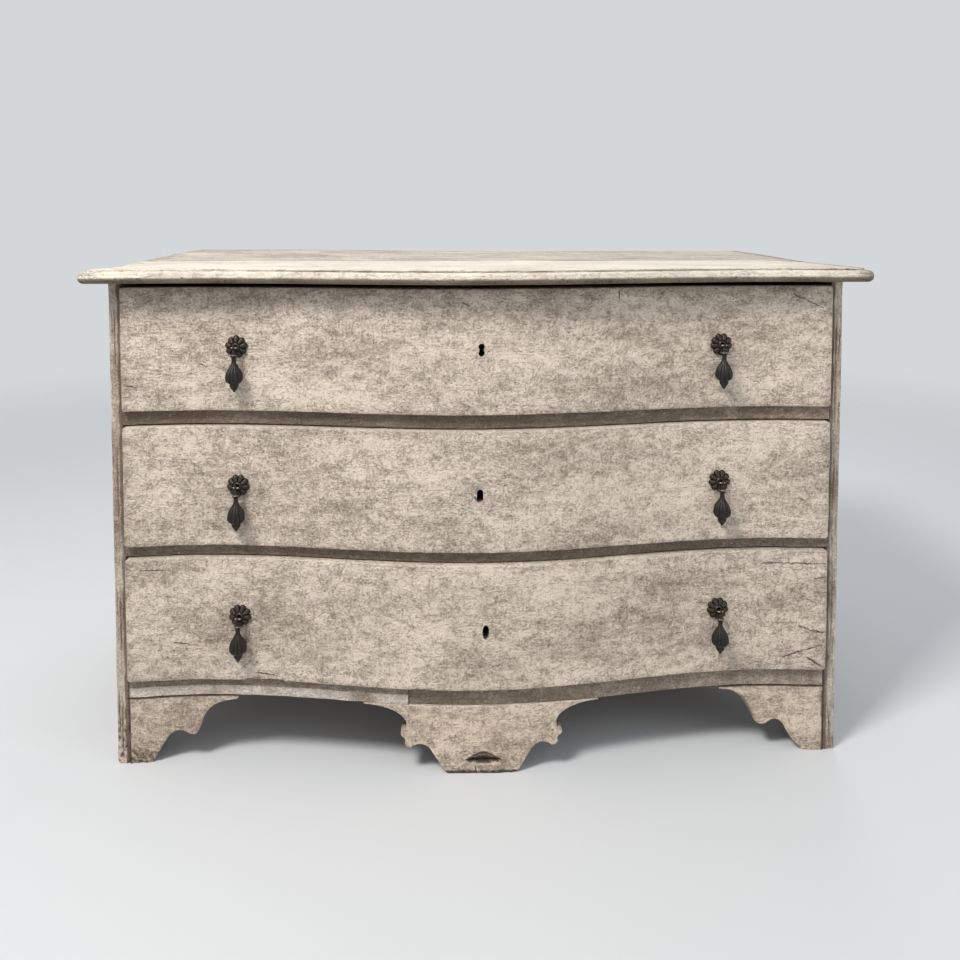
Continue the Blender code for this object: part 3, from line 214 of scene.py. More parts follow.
def unfolded(loop: Array, inset: Array | float) -> Array:
    """Cut an inset down, point by point, wherever the loop drawn in by it would fold over itself.

    Args:
        loop: The loop's points, counter-clockwise.
        inset: How far the loop is to move in.

    Returns:
        How far it can move at each point.
    """
    into, edge = inward(loop), np.roll(loop, -1, axis=0) - loop
    inset = np.array(np.broadcast_to(inset, len(loop)), float)
    slack = np.linalg.norm(edge, axis=1) * 0.45
    for _ in range(80):
        inset = np.minimum(inset, np.roll(inset + slack, 1))
        inset = np.minimum(inset, np.roll(inset, -1) + slack)
        drawn = drawn_in(loop, into, inset)
        moved = np.roll(drawn, -1, axis=0) - drawn
        folded = (moved * edge).sum(axis=1) < 0.12 * (edge**2).sum(axis=1)
        if not folded.any():
            break
        inset[folded | np.roll(folded, 1)] *= 0.85
    return inset


def nearness(points: Array, loop: Array) -> Array:
    """Distance from each point to the nearest point of a loop."""
    parts = np.array_split(points, max(1, len(points) // 1500))
    return np.concatenate([np.sqrt(((part[:, None] - loop[None]) ** 2).sum(axis=2).min(axis=1)) for part in parts])


def inside(points: Array, loop: Array) -> Array:
    """Whether each point lies in a loop: a line from it towards +x crosses the loop an odd number of times.

    Args:
        points: The points.
        loop: The loop's points in order.

    Returns:
        True for each point inside.
    """
    start, end = loop[None], np.roll(loop, -1, axis=0)[None]
    results = []
    for part in np.array_split(points, max(1, len(points) // 1500)):
        spot = part[:, None]
        spans = (start[..., 1] > spot[..., 1]) != (end[..., 1] > spot[..., 1])
        rise = np.where(spans, end[..., 1] - start[..., 1], 1.0)
        cross = start[..., 0] + (spot[..., 1] - start[..., 1]) * (end[..., 0] - start[..., 0]) / rise
        results.append((spans & (cross > spot[..., 0])).sum(axis=1) % 2 == 1)
    return np.concatenate(results)


def filled(loop: Array, pitch: float) -> tuple[Array, Array]:
    """Fill a flat loop with a lattice of points and the Delaunay triangles over both.

    Args:
        loop: The loop's points in order.
        pitch: Distance between lattice points; none are placed when it is 0.

    Returns:
        The lattice points, and triangles that count the loop's points first and the lattice after them.
    """
    lattice = np.zeros((0, 2))
    if pitch:
        low, high = loop.min(axis=0), loop.max(axis=0)
        lines = [np.arange(low[axis] + pitch / 2, high[axis], pitch) for axis in (0, 1)]
        lattice = np.stack(np.meshgrid(*lines, indexing="ij"), axis=-1).reshape(-1, 2)
        lattice = lattice[nearness(lattice, loop) > pitch * 0.5]
        lattice = lattice[inside(lattice, loop)]
    points = [Vector(point) for point in np.vstack((loop, lattice))]
    found = delaunay_2d_cdt(points, [], [list(range(len(loop)))], 1, 1e-8)
    source = np.array([origin[0] if origin else -1 for origin in found[3]])
    extra = np.array([found[0][index] for index in np.flatnonzero(source < 0)]).reshape(-1, 2)
    source[source < 0] = len(points) + np.arange(len(extra))
    return np.vstack((lattice, extra)), source[np.array(found[2])]


def new_piece(name: str, places: Array, faces: list[list[int]], sharp_degrees: float = 35) -> Piece:
    """A mesh object with outward faces.

    Args:
        name: Its name.
        places: Its vertices.
        faces: The vertices of each face.
        sharp_degrees: Edges sharper than this aren't smoothed.

    Returns:
        The object.
    """
    mesh = bpy.data.meshes.new(name)
    mesh.from_pydata(np.asarray(places).tolist(), [], faces)
    bm = bmesh.new()
    bm.from_mesh(mesh)
    bmesh.ops.remove_doubles(bm, verts=bm.verts, dist=1e-7)
    bmesh.ops.recalc_face_normals(bm, faces=bm.faces)
    bm.to_mesh(mesh)
    bm.free()
    mesh.shade_smooth()
    mesh.set_sharp_from_angle(angle=math.radians(sharp_degrees))
    piece = bpy.data.objects.new(name, mesh)
    bpy.context.scene.collection.objects.link(piece)
    return piece


def ring_faces(rings: int, around: int, closed: bool = False) -> list[list[int]]:
    """Quads that join each ring of points to the next.

    Args:
        rings: Number of rings.
        around: Points in each.
        closed: Whether the last ring is joined to the first.

    Returns:
        The faces.
    """
    row = np.arange(rings if closed else rings - 1)[:, None]
    step = np.arange(around)[None]
    after, below = (step + 1) % around, (row + 1) % rings
    corners = (row * around + step, row * around + after, below * around + after, below * around + step)
    return np.stack(corners, axis=-1).reshape(-1, 4).tolist()


def capped(rings: int, around: int) -> list[list[int]]:
    """Faces of a tube of rings that is closed at both ends."""
    last = (rings - 1) * around
    return [*ring_faces(rings, around), list(range(around))[::-1], list(range(last, last + around))]


def joined(shells: Sequence[Shell]) -> Shell:
    """Several closed shells as one set of points and faces.

    Args:
        shells: The shells.

    Returns:
        All points and faces.
    """
    places, faces, count = [], [], 0
    for shell_places, shell_faces in shells:
        places.append(shell_places)
        faces += [[index + count for index in face] for face in shell_faces]
        count += len(shell_places)
    return np.vstack(places), faces


def prism(outline: Array, plane: Plane, low: float, high: float) -> Shell:
    """A closed outline carried straight along the axis it faces."""
    outline = np.asarray(outline, float)
    return np.vstack((plane.place(outline, low), plane.place(outline, high))), capped(2, len(outline))


def block(low: Sequence[float], high: Sequence[float]) -> Shell:
    """A cutter box between two opposite corners."""
    corners = np.array([(low[0], low[1]), (high[0], low[1]), (high[0], high[1]), (low[0], high[1])])
    return prism(corners, Plane.PLAN, low[2], high[2])


def bore(start: Array, end: Array, radius: float, steps: int = 20) -> Shell:
    """A round cutter between two points at one height.

    Args:
        start: One end's middle.
        end: The other's.
        radius: Its radius.
        steps: Points round it.

    Returns:
        The closed shell.
    """
    line = (end - start) / np.linalg.norm(end - start)
    side = np.array((line[1], -line[0], 0))
    turns = np.linspace(0, 2 * np.pi, steps, endpoint=False)[:, None]
    ring = radius * (np.cos(turns) * side + np.sin(turns) * np.array((0, 0, 1)))
    return np.vstack((start + ring, end + ring)), capped(2, steps)


def carve(piece: Piece, shells: Sequence[Shell]) -> None:
    """Take closed shells out of a piece with an exact Boolean, and apply it.

    Args:
        piece: The piece.
        shells: What is taken out. They don't touch each other.
    """
    places, faces = joined(shells)
    cutter = new_piece("cutter", places, faces)
    modifier = piece.modifiers.new("cut", "BOOLEAN")
    modifier.operation, modifier.solver, modifier.object = "DIFFERENCE", "EXACT", cutter
    graph = bpy.context.evaluated_depsgraph_get()
    graph.update()
    mesh = bpy.data.meshes.new_from_object(piece.evaluated_get(graph))
    spent = piece.data
    piece.modifiers.clear()
    piece.data = mesh
    mesh.name = piece.name
    bpy.data.meshes.remove(spent)
    bpy.data.objects.remove(cutter, do_unlink=True)
    mesh.shade_smooth()
    mesh.set_sharp_from_angle(angle=math.radians(35))


def places_of(piece: Piece) -> Array:
    """All vertex places of a piece.

    Args:
        piece: The piece.

    Returns:
        The places, one a row.
    """
    places = np.zeros(len(piece.data.vertices) * 3, np.float32)
    piece.data.vertices.foreach_get("co", places)
    return places.reshape(-1, 3).astype(float)


def paint(piece: Piece, name: str, values: Array | float) -> None:
    """Store a value for each vertex, for the finishes to read."""
    layer = piece.data.attributes.new(name, "FLOAT", "POINT")
    layer.data.foreach_set("value", np.broadcast_to(values, len(piece.data.vertices)).astype(np.float32))


@dataclass
class Slab:
    """A board of any outline: rings run round its rim from one face to the other, and both faces are filled.

    Attributes:
        rings: Flat loops with their depths below the near face, from the near face to the far one.
        lift: Gives world places for flat points at given depths.
        pitch: Spacing of the points over the near face.
        far_pitch: Spacing over the far face, or 0 for none.
    """

    name: str
    rings: list[tuple[Array, Array | float]]
    lift: Lift
    pitch: float
    far_pitch: float = 0.0

    def build(self) -> Piece:
        """Make the mesh: ring after ring of quads, with a triangulated cap at each end.

        Returns:
            The piece.
        """
        count = len(self.rings[0][0])
        rows = [self.lift(loop, np.broadcast_to(depth, count)) for loop, depth in self.rings]
        faces = ring_faces(len(rows), count)
        total = count * len(rows)
        for index, pitch in ((0, self.pitch), (len(rows) - 1, self.far_pitch)):
            loop, depth = self.rings[index]
            lattice, triangles = filled(loop, pitch)
            shifted = np.where(triangles < count, triangles + index * count, triangles - count + total)
            if len(lattice):
                rows.append(self.lift(lattice, np.full(len(lattice), float(np.mean(depth)))))
            faces += shifted.tolist()
            total += len(lattice)
        return new_piece(self.name, np.vstack(rows), faces)


def rounded(outline: Array, into: Array, radius: Array, turns: Array) -> list[tuple[Array, Array]]:
    """Rings of one rounded arris.

    Formula: at turn a, the arris stands r(1 - sin a) in from the outline and r(1 - cos a) below the face.

    Args:
        outline: The board's outline.
        into: Directions into it.
        radius: Radius of the arris at each point.
        turns: The angles of the rings.

    Returns:
        Loops and their depths.
    """
    rounds = [(radius * (1 - math.sin(turn)), radius * (1 - math.cos(turn))) for turn in turns]
    return [(drawn_in(outline, into, inset), below) for inset, below in rounds]


def eased(
    outline: Array, near: Array | float, far: Array | float, depth: float, steps: int = 4, flat: int = 0
) -> list[tuple[Array, Array]]:
    """Rings round a board whose two arrises are quarter rounds, the far one a mirror of the near one.

    Args:
        outline: Counter-clockwise outline.
        near: Radius of the near arris, one or one for each point.
        far: Radius of the far arris.
        depth: Thickness of the board.
        steps: Rings in each quarter round.
        flat: Rings on the flat rim between the two arrises.

    Returns:
        Loops and their depths.
    """
    into = inward(outline)
    near, far = (unfolded(outline, radius) for radius in (near, far))
    turns = np.linspace(0, np.pi / 2, steps + 1)
    rings = rounded(outline, into, near, turns)
    for share in np.linspace(0, 1, flat + 2)[1:-1]:
        rings.append((outline, near + (depth - near - far) * share))
    return rings + [(loop, depth - below) for loop, below in rounded(outline, into, far, turns[::-1])]


@dataclass(frozen=True)
class Serpentine:
    """The front line of the chest in plan: a swell in the middle and a hollow towards each side plank."""

    front_y: float = -0.2575
    swell: float = 0.050
    hollow: float = 0.007
    hollow_place: float = 0.78
    half_case: float = 0.5845

    def reach(self, x: Array | float) -> Array:
        """How far the line stands forward: half a cosine wave for the swell, a shorter one back out.

        Args:
            x: Places across the chest.

        Returns:
            The distances.
        """
        share = np.minimum(np.abs(x) / self.half_case, 1.0)
        swell = self.swell * (1 + np.cos(np.pi * share / self.hollow_place)) / 2 - self.hollow
        rise = (share - self.hollow_place) / (1 - self.hollow_place)
        return np.where(share < self.hollow_place, swell, -self.hollow * (1 + np.cos(np.pi * rise)) / 2)

    def face(self, x: Array | float, proud: float) -> Array:
        """The y of a surface that stands proud of the side planks' front edges and follows the line."""
        return self.front_y - proud - self.reach(x)

    def slope(self, x: float) -> float:
        """The line's slope at x, from two places close by."""
        return float(self.reach(x + 1e-5) - self.reach(x - 1e-5)) / 2e-5


# The case's fixed lines: the planks' inner faces, their upper ends, the top's face, the case's back, the fit
# between parts, and how far the pulls stand from the middle.
FRONT = Serpentine()
INNER_X = 0.5645
PLANK_TOP = 0.778
TOP_Z = 0.800
BACK_Y = 0.3485
FIT = 0.0003
PULL_X = 0.3835


# ------------------------------------------------ finishes


class Bench:
    """A node tree under work: places nodes and joins sockets or sets their values."""

    def __init__(self, tree: bpy.types.NodeTree) -> None:
        """Take up a tree."""
        self.tree = tree

    def put(self, kind: str, wires: dict[str | int, object] | None = None, **settings: object) -> bpy.types.Node:
        """Place a node.

        Args:
            kind: Its type name.
            wires: What goes into its inputs: another socket, or a value.
            **settings: The node's own settings.

        Returns:
            The node.
        """
        node = self.tree.nodes.new(kind)
        for name, value in settings.items():
            setattr(node, name, value)
        for name, source in (wires or {}).items():
            self.join(node.inputs[name], source)
        return node

    def join(self, socket: Socket, source: object) -> None:
        """Link a socket to its source, or set its value.

        Args:
            socket: The input.
            source: Another node's output, or a value. A colour of three values is opaque.
        """
        if isinstance(source, bpy.types.NodeSocket):
            self.tree.links.new(source, socket)
        elif socket.type == "RGBA":
            socket.default_value = (*source, 1)
        else:
            socket.default_value = source

    def calc(self, operation: str, *values: object, clamp: bool = False) -> Socket:
        """The result of a Math node."""
        node = self.put("ShaderNodeMath", dict(enumerate(values)), operation=operation, use_clamp=clamp)
        return node.outputs[0]

    def add(self, *values: object) -> Socket:
        """One value plus another."""
        return self.calc("ADD", *values)

    def less(self, *values: object) -> Socket:
        """One value less another."""
        return self.calc("SUBTRACT", *values)

    def times(self, *values: object) -> Socket:
        """One value times another."""
        return self.calc("MULTIPLY", *values)

    def blend(self, *values: object) -> Socket:
        """One value times another, plus a third."""
        return self.calc("MULTIPLY_ADD", *values)

    def weighed(self, total: Socket, parts: Sequence[tuple[Socket, float]]) -> Socket:
        """A value with weighted parts added to it."""
        for part, weight in parts:
            total = self.blend(part, weight, total)
        return total

    def aim(self, operation: str, *values: object) -> Socket:
        """The result of a Vector Math node."""
        node = self.put("ShaderNodeVectorMath", dict(enumerate(values)), operation=operation)
        return node.outputs["Value" if operation in ("LENGTH", "DOT_PRODUCT") else "Vector"]

    def scaled(self, vector: object, share: Socket) -> Socket:
        """A vector times a value."""
        return self.put("ShaderNodeVectorMath", {0: vector, "Scale": share}, operation="SCALE").outputs[0]

    def window(self, value: object, low: object, high: object, start: object = 0.0, end: object = 1.0) -> Socket:
        """A value eased from one level to another."""
        wires = {"Value": value, "From Min": low, "From Max": high, "To Min": start, "To Max": end}
        return self.put("ShaderNodeMapRange", wires, interpolation_type="SMOOTHSTEP").outputs["Result"]

    def noise(self, place: Socket, sizes: Triple, detail: float = 2, rough: float = 0.5) -> Socket:
        """Noise whose features have the given lengths.

        Args:
            place: Where the surface is.
            sizes: Length of a feature along each of the three axes.
            detail: How many finer layers it has.
            rough: How strong the finer layers are.

        Returns:
            A value about 0.5.
        """
        scaled = self.aim("MULTIPLY", place, tuple(1 / size for size in sizes))
        wires = {"Vector": scaled, "Scale": 1.0, "Detail": detail, "Roughness": rough}
        return self.put("ShaderNodeTexNoise", wires).outputs["Fac"]

    def strayed(self, place: Socket, scale: float, reach: Triple, **settings: float) -> Socket:
        """Places moved a little by coloured noise, so that what is drawn on them has ragged edges.

        Args:
            place: Where the surface is.
            scale: How fine the noise is.
            reach: How far it moves a place along each axis.
            **settings: Detail and roughness of the noise.

        Returns:
            The moved places.
        """
        wires = {"Vector": place, "Scale": scale, **settings}
        stray = self.put("ShaderNodeTexNoise", wires).outputs["Color"]
        stray = self.aim("MULTIPLY", self.aim("SUBTRACT", stray, (0.5, 0.5, 0.5)), reach)
        return self.aim("ADD", place, stray)

    def tint(self, share: object, under: object, over: object) -> Socket:
        """A colour mixed over another.

        Args:
            share: How much of the upper colour shows.
            under: The lower colour.
            over: The upper colour.

        Returns:
            The mixed colour.
        """
        node = self.put("ShaderNodeMix", data_type="RGBA", blend_type="MIX")
        for index, value in ((0, share), (6, under), (7, over)):
            self.join(node.inputs[index], value)
        return node.outputs[2]

    def coated(self, colour: object, coats: Sequence[tuple[Socket, float, Triple]]) -> Socket:
        """A colour under several coats."""
        for mask, share, coat in coats:
            colour = self.tint(self.times(mask, share), colour, coat)
        return colour

    def attribute(self, name: str) -> Socket:
        """A value painted on the mesh."""
        return self.put("ShaderNodeAttribute", attribute_name=name).outputs["Fac"]

    def object_place(self) -> Socket:
        """Where the surface is, in the piece's own coordinates."""
        return self.put("ShaderNodeTexCoord").outputs["Object"]


@dataclass(frozen=True)
class Skin:
    """A new material with a bench for its nodes."""

    made: Material
    bench: Bench
    shader: bpy.types.Node

    @classmethod
    def named(cls, name: str) -> "Skin":
        """Start a material.

        Args:
            name: Its name.

        Returns:
            The material with its bench.
        """
        made = bpy.data.materials.new(name)
        made.use_nodes = True
        return cls(made, Bench(made.node_tree), made.node_tree.nodes["Principled BSDF"])

    def wear(self, colour: Socket, rough: Socket, height: Socket, strength: float, relief: float) -> Material:
        """Give the shader what varies over the surface.

        Args:
            colour: Its colour.
            rough: Its roughness.
            height: The surface's height, for the bump.
            strength: How strongly the bump shows.
            relief: Depth of the bump.

        Returns:
            The finished material.
        """
        wires = {"Height": height, "Strength": strength, "Distance": relief}
        normal = self.bench.put("ShaderNodeBump", wires).outputs["Normal"]
        for label, source in (("Base Color", colour), ("Roughness", rough), ("Normal", normal)):
            self.bench.join(self.shader.inputs[label], source)
        return self.made


def effect(name: str, takes: str, gives: str) -> Callable[[Effect], Callable[..., Wires]]:
    """Turn a function that draws nodes into a node group, built once and placed wherever it is called.

    Args:
        name: The group's name.
        takes: The names of its inputs. Those in VECTORS are vectors and the others values.
        gives: The names of its outputs, all of them values.

    Returns:
        A decorator whose function takes a bench and the inputs, and returns the outputs.
    """

    def wrap(draw: Effect) -> Callable[..., Wires]:
        """Put the group round the function that draws it.

        Args:
            draw: Draws the nodes.

        Returns:
            The function that places the group.
        """

        def build() -> bpy.types.NodeTree:
            """Make the group.

            Returns:
                Its node tree.
            """
            tree = bpy.data.node_groups.new(name, "ShaderNodeTree")
            for label in takes.split():
                kind = "NodeSocketVector" if label in VECTORS else "NodeSocketFloat"
                tree.interface.new_socket(label, in_out="INPUT", socket_type=kind)
            for label in gives.split():
                tree.interface.new_socket(label, in_out="OUTPUT", socket_type="NodeSocketFloat")
            bench = Bench(tree)
            entry, leave = bench.put("NodeGroupInput"), bench.put("NodeGroupOutput")
            for label, socket in draw(bench, {label: entry.outputs[label] for label in takes.split()}).items():
                bench.join(leave.inputs[label], socket)
            return tree

        def place(bench: Bench, **wires: object) -> Wires:
            """Place the group.

            Args:
                bench: Where it goes.
                **wires: What goes into its inputs.

            Returns:
                Its outputs by name.
            """
            if name not in EFFECTS:
                EFFECTS[name] = build()
            node = bench.put("ShaderNodeGroup", node_tree=EFFECTS[name])
            for label, source in wires.items():
                bench.join(node.inputs[label], source)
            return {label: node.outputs[label] for label in gives.split()}

        return place

    return wrap


@effect("oak_grain", "place ring", "rings fibre pores streak")
def oak_grain(bench: Bench, given: Wires) -> Wires:
    """Growth rings about a bent pith along X, fine fibre, and open pores that gather in the early wood.

    Args:
        bench: Where it draws.
        given: The place, and the width of a ring.

    Returns:
        The rings, the fibre, the pores and long streaks.
    """
    place = given["place"]
    sway = bench.noise(place, (0.45, 0.07, 0.07), 2)
    bend = bench.times(bench.less(sway, 0.5), 0.05)
    split = bench.put("ShaderNodeSeparateXYZ", {"Vector": place})
    across = bench.add(bench.add(split.outputs["Y"], 0.21), bend)
    up = bench.add(bench.less(split.outputs["Z"], 0.37), bend)
    distance = bench.calc("SQRT", bench.add(bench.calc("POWER", across, 2.0), bench.calc("POWER", up, 2.0)))
    turn = bench.times(bench.calc("DIVIDE", distance, given["ring"]), 2 * math.pi)
    fray = bench.times(bench.noise(place, (0.03, 0.003, 0.003), 2), 3.5)
    rings = bench.blend(bench.calc("SINE", bench.add(turn, fray)), 0.5, 0.5)
    fibre = bench.noise(place, (0.022, 0.0011, 0.0011), 3, 0.6)
    dashes = bench.noise(place, (0.0075, 0.0010, 0.0010), 2, 0.6)
    crowd = bench.window(bench.noise(place, (0.055, 0.016, 0.016), 3, 0.6), 0.38, 0.68)
    level = bench.add(bench.times(rings, 0.05), bench.times(crowd, 0.12))
    pores = bench.window(bench.add(dashes, level), 0.67, 0.79)
    streak = bench.noise(place, (0.13, 0.0042, 0.0042), 4, 0.62)
    return {"rings": rings, "fibre": fibre, "pores": pores, "streak": streak}


@effect("lime_film", "place cover streak pores", "film fleck pit grit brush cloud")
def lime_film(bench: Bench, given: Wires) -> Wires:
    """Where whitening still lies on the wood: clouds, mottles, grit, brush marks, raised flecks and pits.

    Args:
        bench: Where it draws.
        given: The place, how much film is left, the streaks and the pores.

    Returns:
        The film, its raised flecks and its pits, and the three noises that break it up.
    """
    place = given["place"]
    cloud = bench.noise(place, (0.17, 0.075, 0.075), 4, 0.6)
    place = bench.strayed(place, 85.0, (0.006, 0.0035, 0.0035), Detail=2.0)
    mottle = bench.noise(place, (0.021, 0.0145, 0.0145), 6, 0.74)
    grit = bench.noise(place, (0.0040, 0.0034, 0.0034), 4, 0.72)
    brush = bench.noise(place, (0.0026, 0.0110, 0.0110), 3, 0.65)
    parts = ((mottle, 1.15), (grit, 1.05), (brush, 0.40), (given["streak"], 0.15))
    total = bench.weighed(bench.times(cloud, 0.60), parts)
    level = bench.less(2.20, given["cover"])
    film = bench.window(total, bench.less(level, 0.31), bench.add(level, 0.22))
    film = bench.times(film, bench.less(1.0, bench.times(given["pores"], 0.4)))
    fleck = bench.window(bench.noise(place, (0.0040, 0.0029, 0.0029), 2, 0.6), 0.61, 0.70)
    pit = bench.noise(bench.aim("ADD", place, (0.37, 0.11, 0.23)), (0.0048, 0.0026, 0.0026), 3, 0.65)
    pit = bench.window(bench.add(pit, bench.times(cloud, -0.12)), 0.56, 0.65)
    return {"film": film, "fleck": fleck, "pit": pit, "grit": grit, "brush": brush, "cloud": cloud}


@effect("edge_wear", "place worn", "bare light")
def edge_wear(bench: Bench, given: Wires) -> Wires:
    """Arris wear and painted highlights: the painted nearness to an edge, with painted highlights added to it,
    broken up by noise into bare and polished spots.

    Args:
        bench: Where it draws.
        given: The place, and the painted wear with painted highlights in it.

    Returns:
        Where the wood is bare, and where it is polished light or painted with a highlight.
    """
    breakup = bench.noise(given["place"], (0.018, 0.008, 0.008), 4, 0.65)
    total = bench.add(given["worn"], bench.times(bench.less(breakup, 0.5), 1.3))
    rub = bench.noise(given["place"], (0.09, 0.05, 0.05), 2, 0.5)
    rub = bench.add(rub, bench.times(bench.less(given["worn"], 0.9), 0.3))
    light = bench.times(bench.window(total, 0.55, 0.95), bench.window(rub, 0.42, 0.6))
    return {"bare": bench.window(total, 0.62, 0.95), "light": light}


@effect("crack_line", "place start end width", "mask")
def crack_line(bench: Bench, given: Wires) -> Wires:
    """A ragged line between two places on the front: the distance to it in X and Z, less its half width.

    Args:
        bench: Where it draws.
        given: The place, the line's two ends and its half width.

    Returns:
        Where the line is.
    """
    flat = bench.aim("MULTIPLY", given["place"], (1, 0, 1))
    flat = bench.strayed(flat, 160.0, (0.0, 0, 0.0075), Detail=3.0, Roughness=0.6)
    way = bench.aim("SUBTRACT", given["end"], given["start"])
    past = bench.aim("SUBTRACT", flat, given["start"])
    along, length = bench.aim("DOT_PRODUCT", past, way), bench.aim("DOT_PRODUCT", way, way)
    share = bench.calc("DIVIDE", along, length, clamp=True)
    gap = bench.aim("LENGTH", bench.aim("SUBTRACT", past, bench.scaled(way, share)))
    taper = bench.times(given["width"], bench.window(share, 1.0, 0.6, 0.45, 1.0))
    return {"mask": bench.window(gap, bench.times(taper, 1.15), bench.times(taper, 0.35))}


@effect("worm_holes", "place amount", "mask")
def worm_holes(bench: Bench, given: Wires) -> Wires:
    """Small round flight holes where the amount painted on the wood is high.

    Args:
        bench: Where it draws.
        given: The place, and the painted amount.

    Returns:
        Where the holes are.
    """
    wires = {"Vector": given["place"], "Scale": 130.0, "Randomness": 1.0}
    gap = bench.put("ShaderNodeTexVoronoi", wires).outputs["Distance"]
    some = bench.noise(given["place"], (0.011, 0.011, 0.011), 1)
    chosen = bench.window(bench.add(some, given["amount"]), 0.95, 1.05)
    return {"mask": bench.times(bench.window(gap, 0.20, 0.12), chosen)}


@effect("patina", "place", "blotch speck pit")
def patina(bench: Bench, given: Wires) -> Wires:
    """Uneven blackening on metal: soft blotches, brown specks and fine pits.

    Args:
        bench: Where it draws.
        given: The place.

    Returns:
        The blotches, the specks and the pits.
    """
    blotch = bench.noise(given["place"], (0.006, 0.006, 0.006), 4, 0.6)
    speck = bench.window(bench.noise(given["place"], (0.0018, 0.0018, 0.0018), 3, 0.6), 0.55, 0.72)
    pit = bench.noise(given["place"], (0.0006, 0.0006, 0.0006), 2, 0.5)
    return {"blotch": blotch, "speck": speck, "pit": pit}


class Grain(Enum):
    """Which way a board's grain runs, as the world axes that stand for its own length, width and height."""

    ACROSS = ("X", "Y", "Z")
    DEEP = ("Y", "X", "Z")
    UPRIGHT = ("Z", "Y", "X")


def board_place(bench: Bench, grain: Grain) -> Socket:
    """Object coordinates with the grain along X, moved by the number painted on the board.

    Args:
        bench: Where it draws.
        grain: Which way the grain runs.

    Returns:
        The place in the board's own stretch of timber.
    """
    place = bench.object_place()
    if grain is not Grain.ACROSS:
        split = bench.put("ShaderNodeSeparateXYZ", {"Vector": place})
        wires = {index: split.outputs[axis] for index, axis in enumerate(grain.value)}
        place = bench.put("ShaderNodeCombineXYZ", wires).outputs["Vector"]
    return bench.aim("ADD", place, bench.scaled((1.31, 0.47, 0.83), bench.attribute("board")))


@dataclass(frozen=True)
class Mark:
    """A dark crack or a pale scratch on the front, from one (x, z) to another, with its half width."""

    start: Pair
    end: Pair
    width: float = 0.0012
    pale: bool = False

    def mask(self, bench: Bench, place: Socket) -> Socket:
        """Where the mark is."""
        start, end = ((spot[0], 0.0, spot[1]) for spot in (self.start, self.end))
        return crack_line(bench, place=place, start=start, end=end, width=self.width)["mask"]


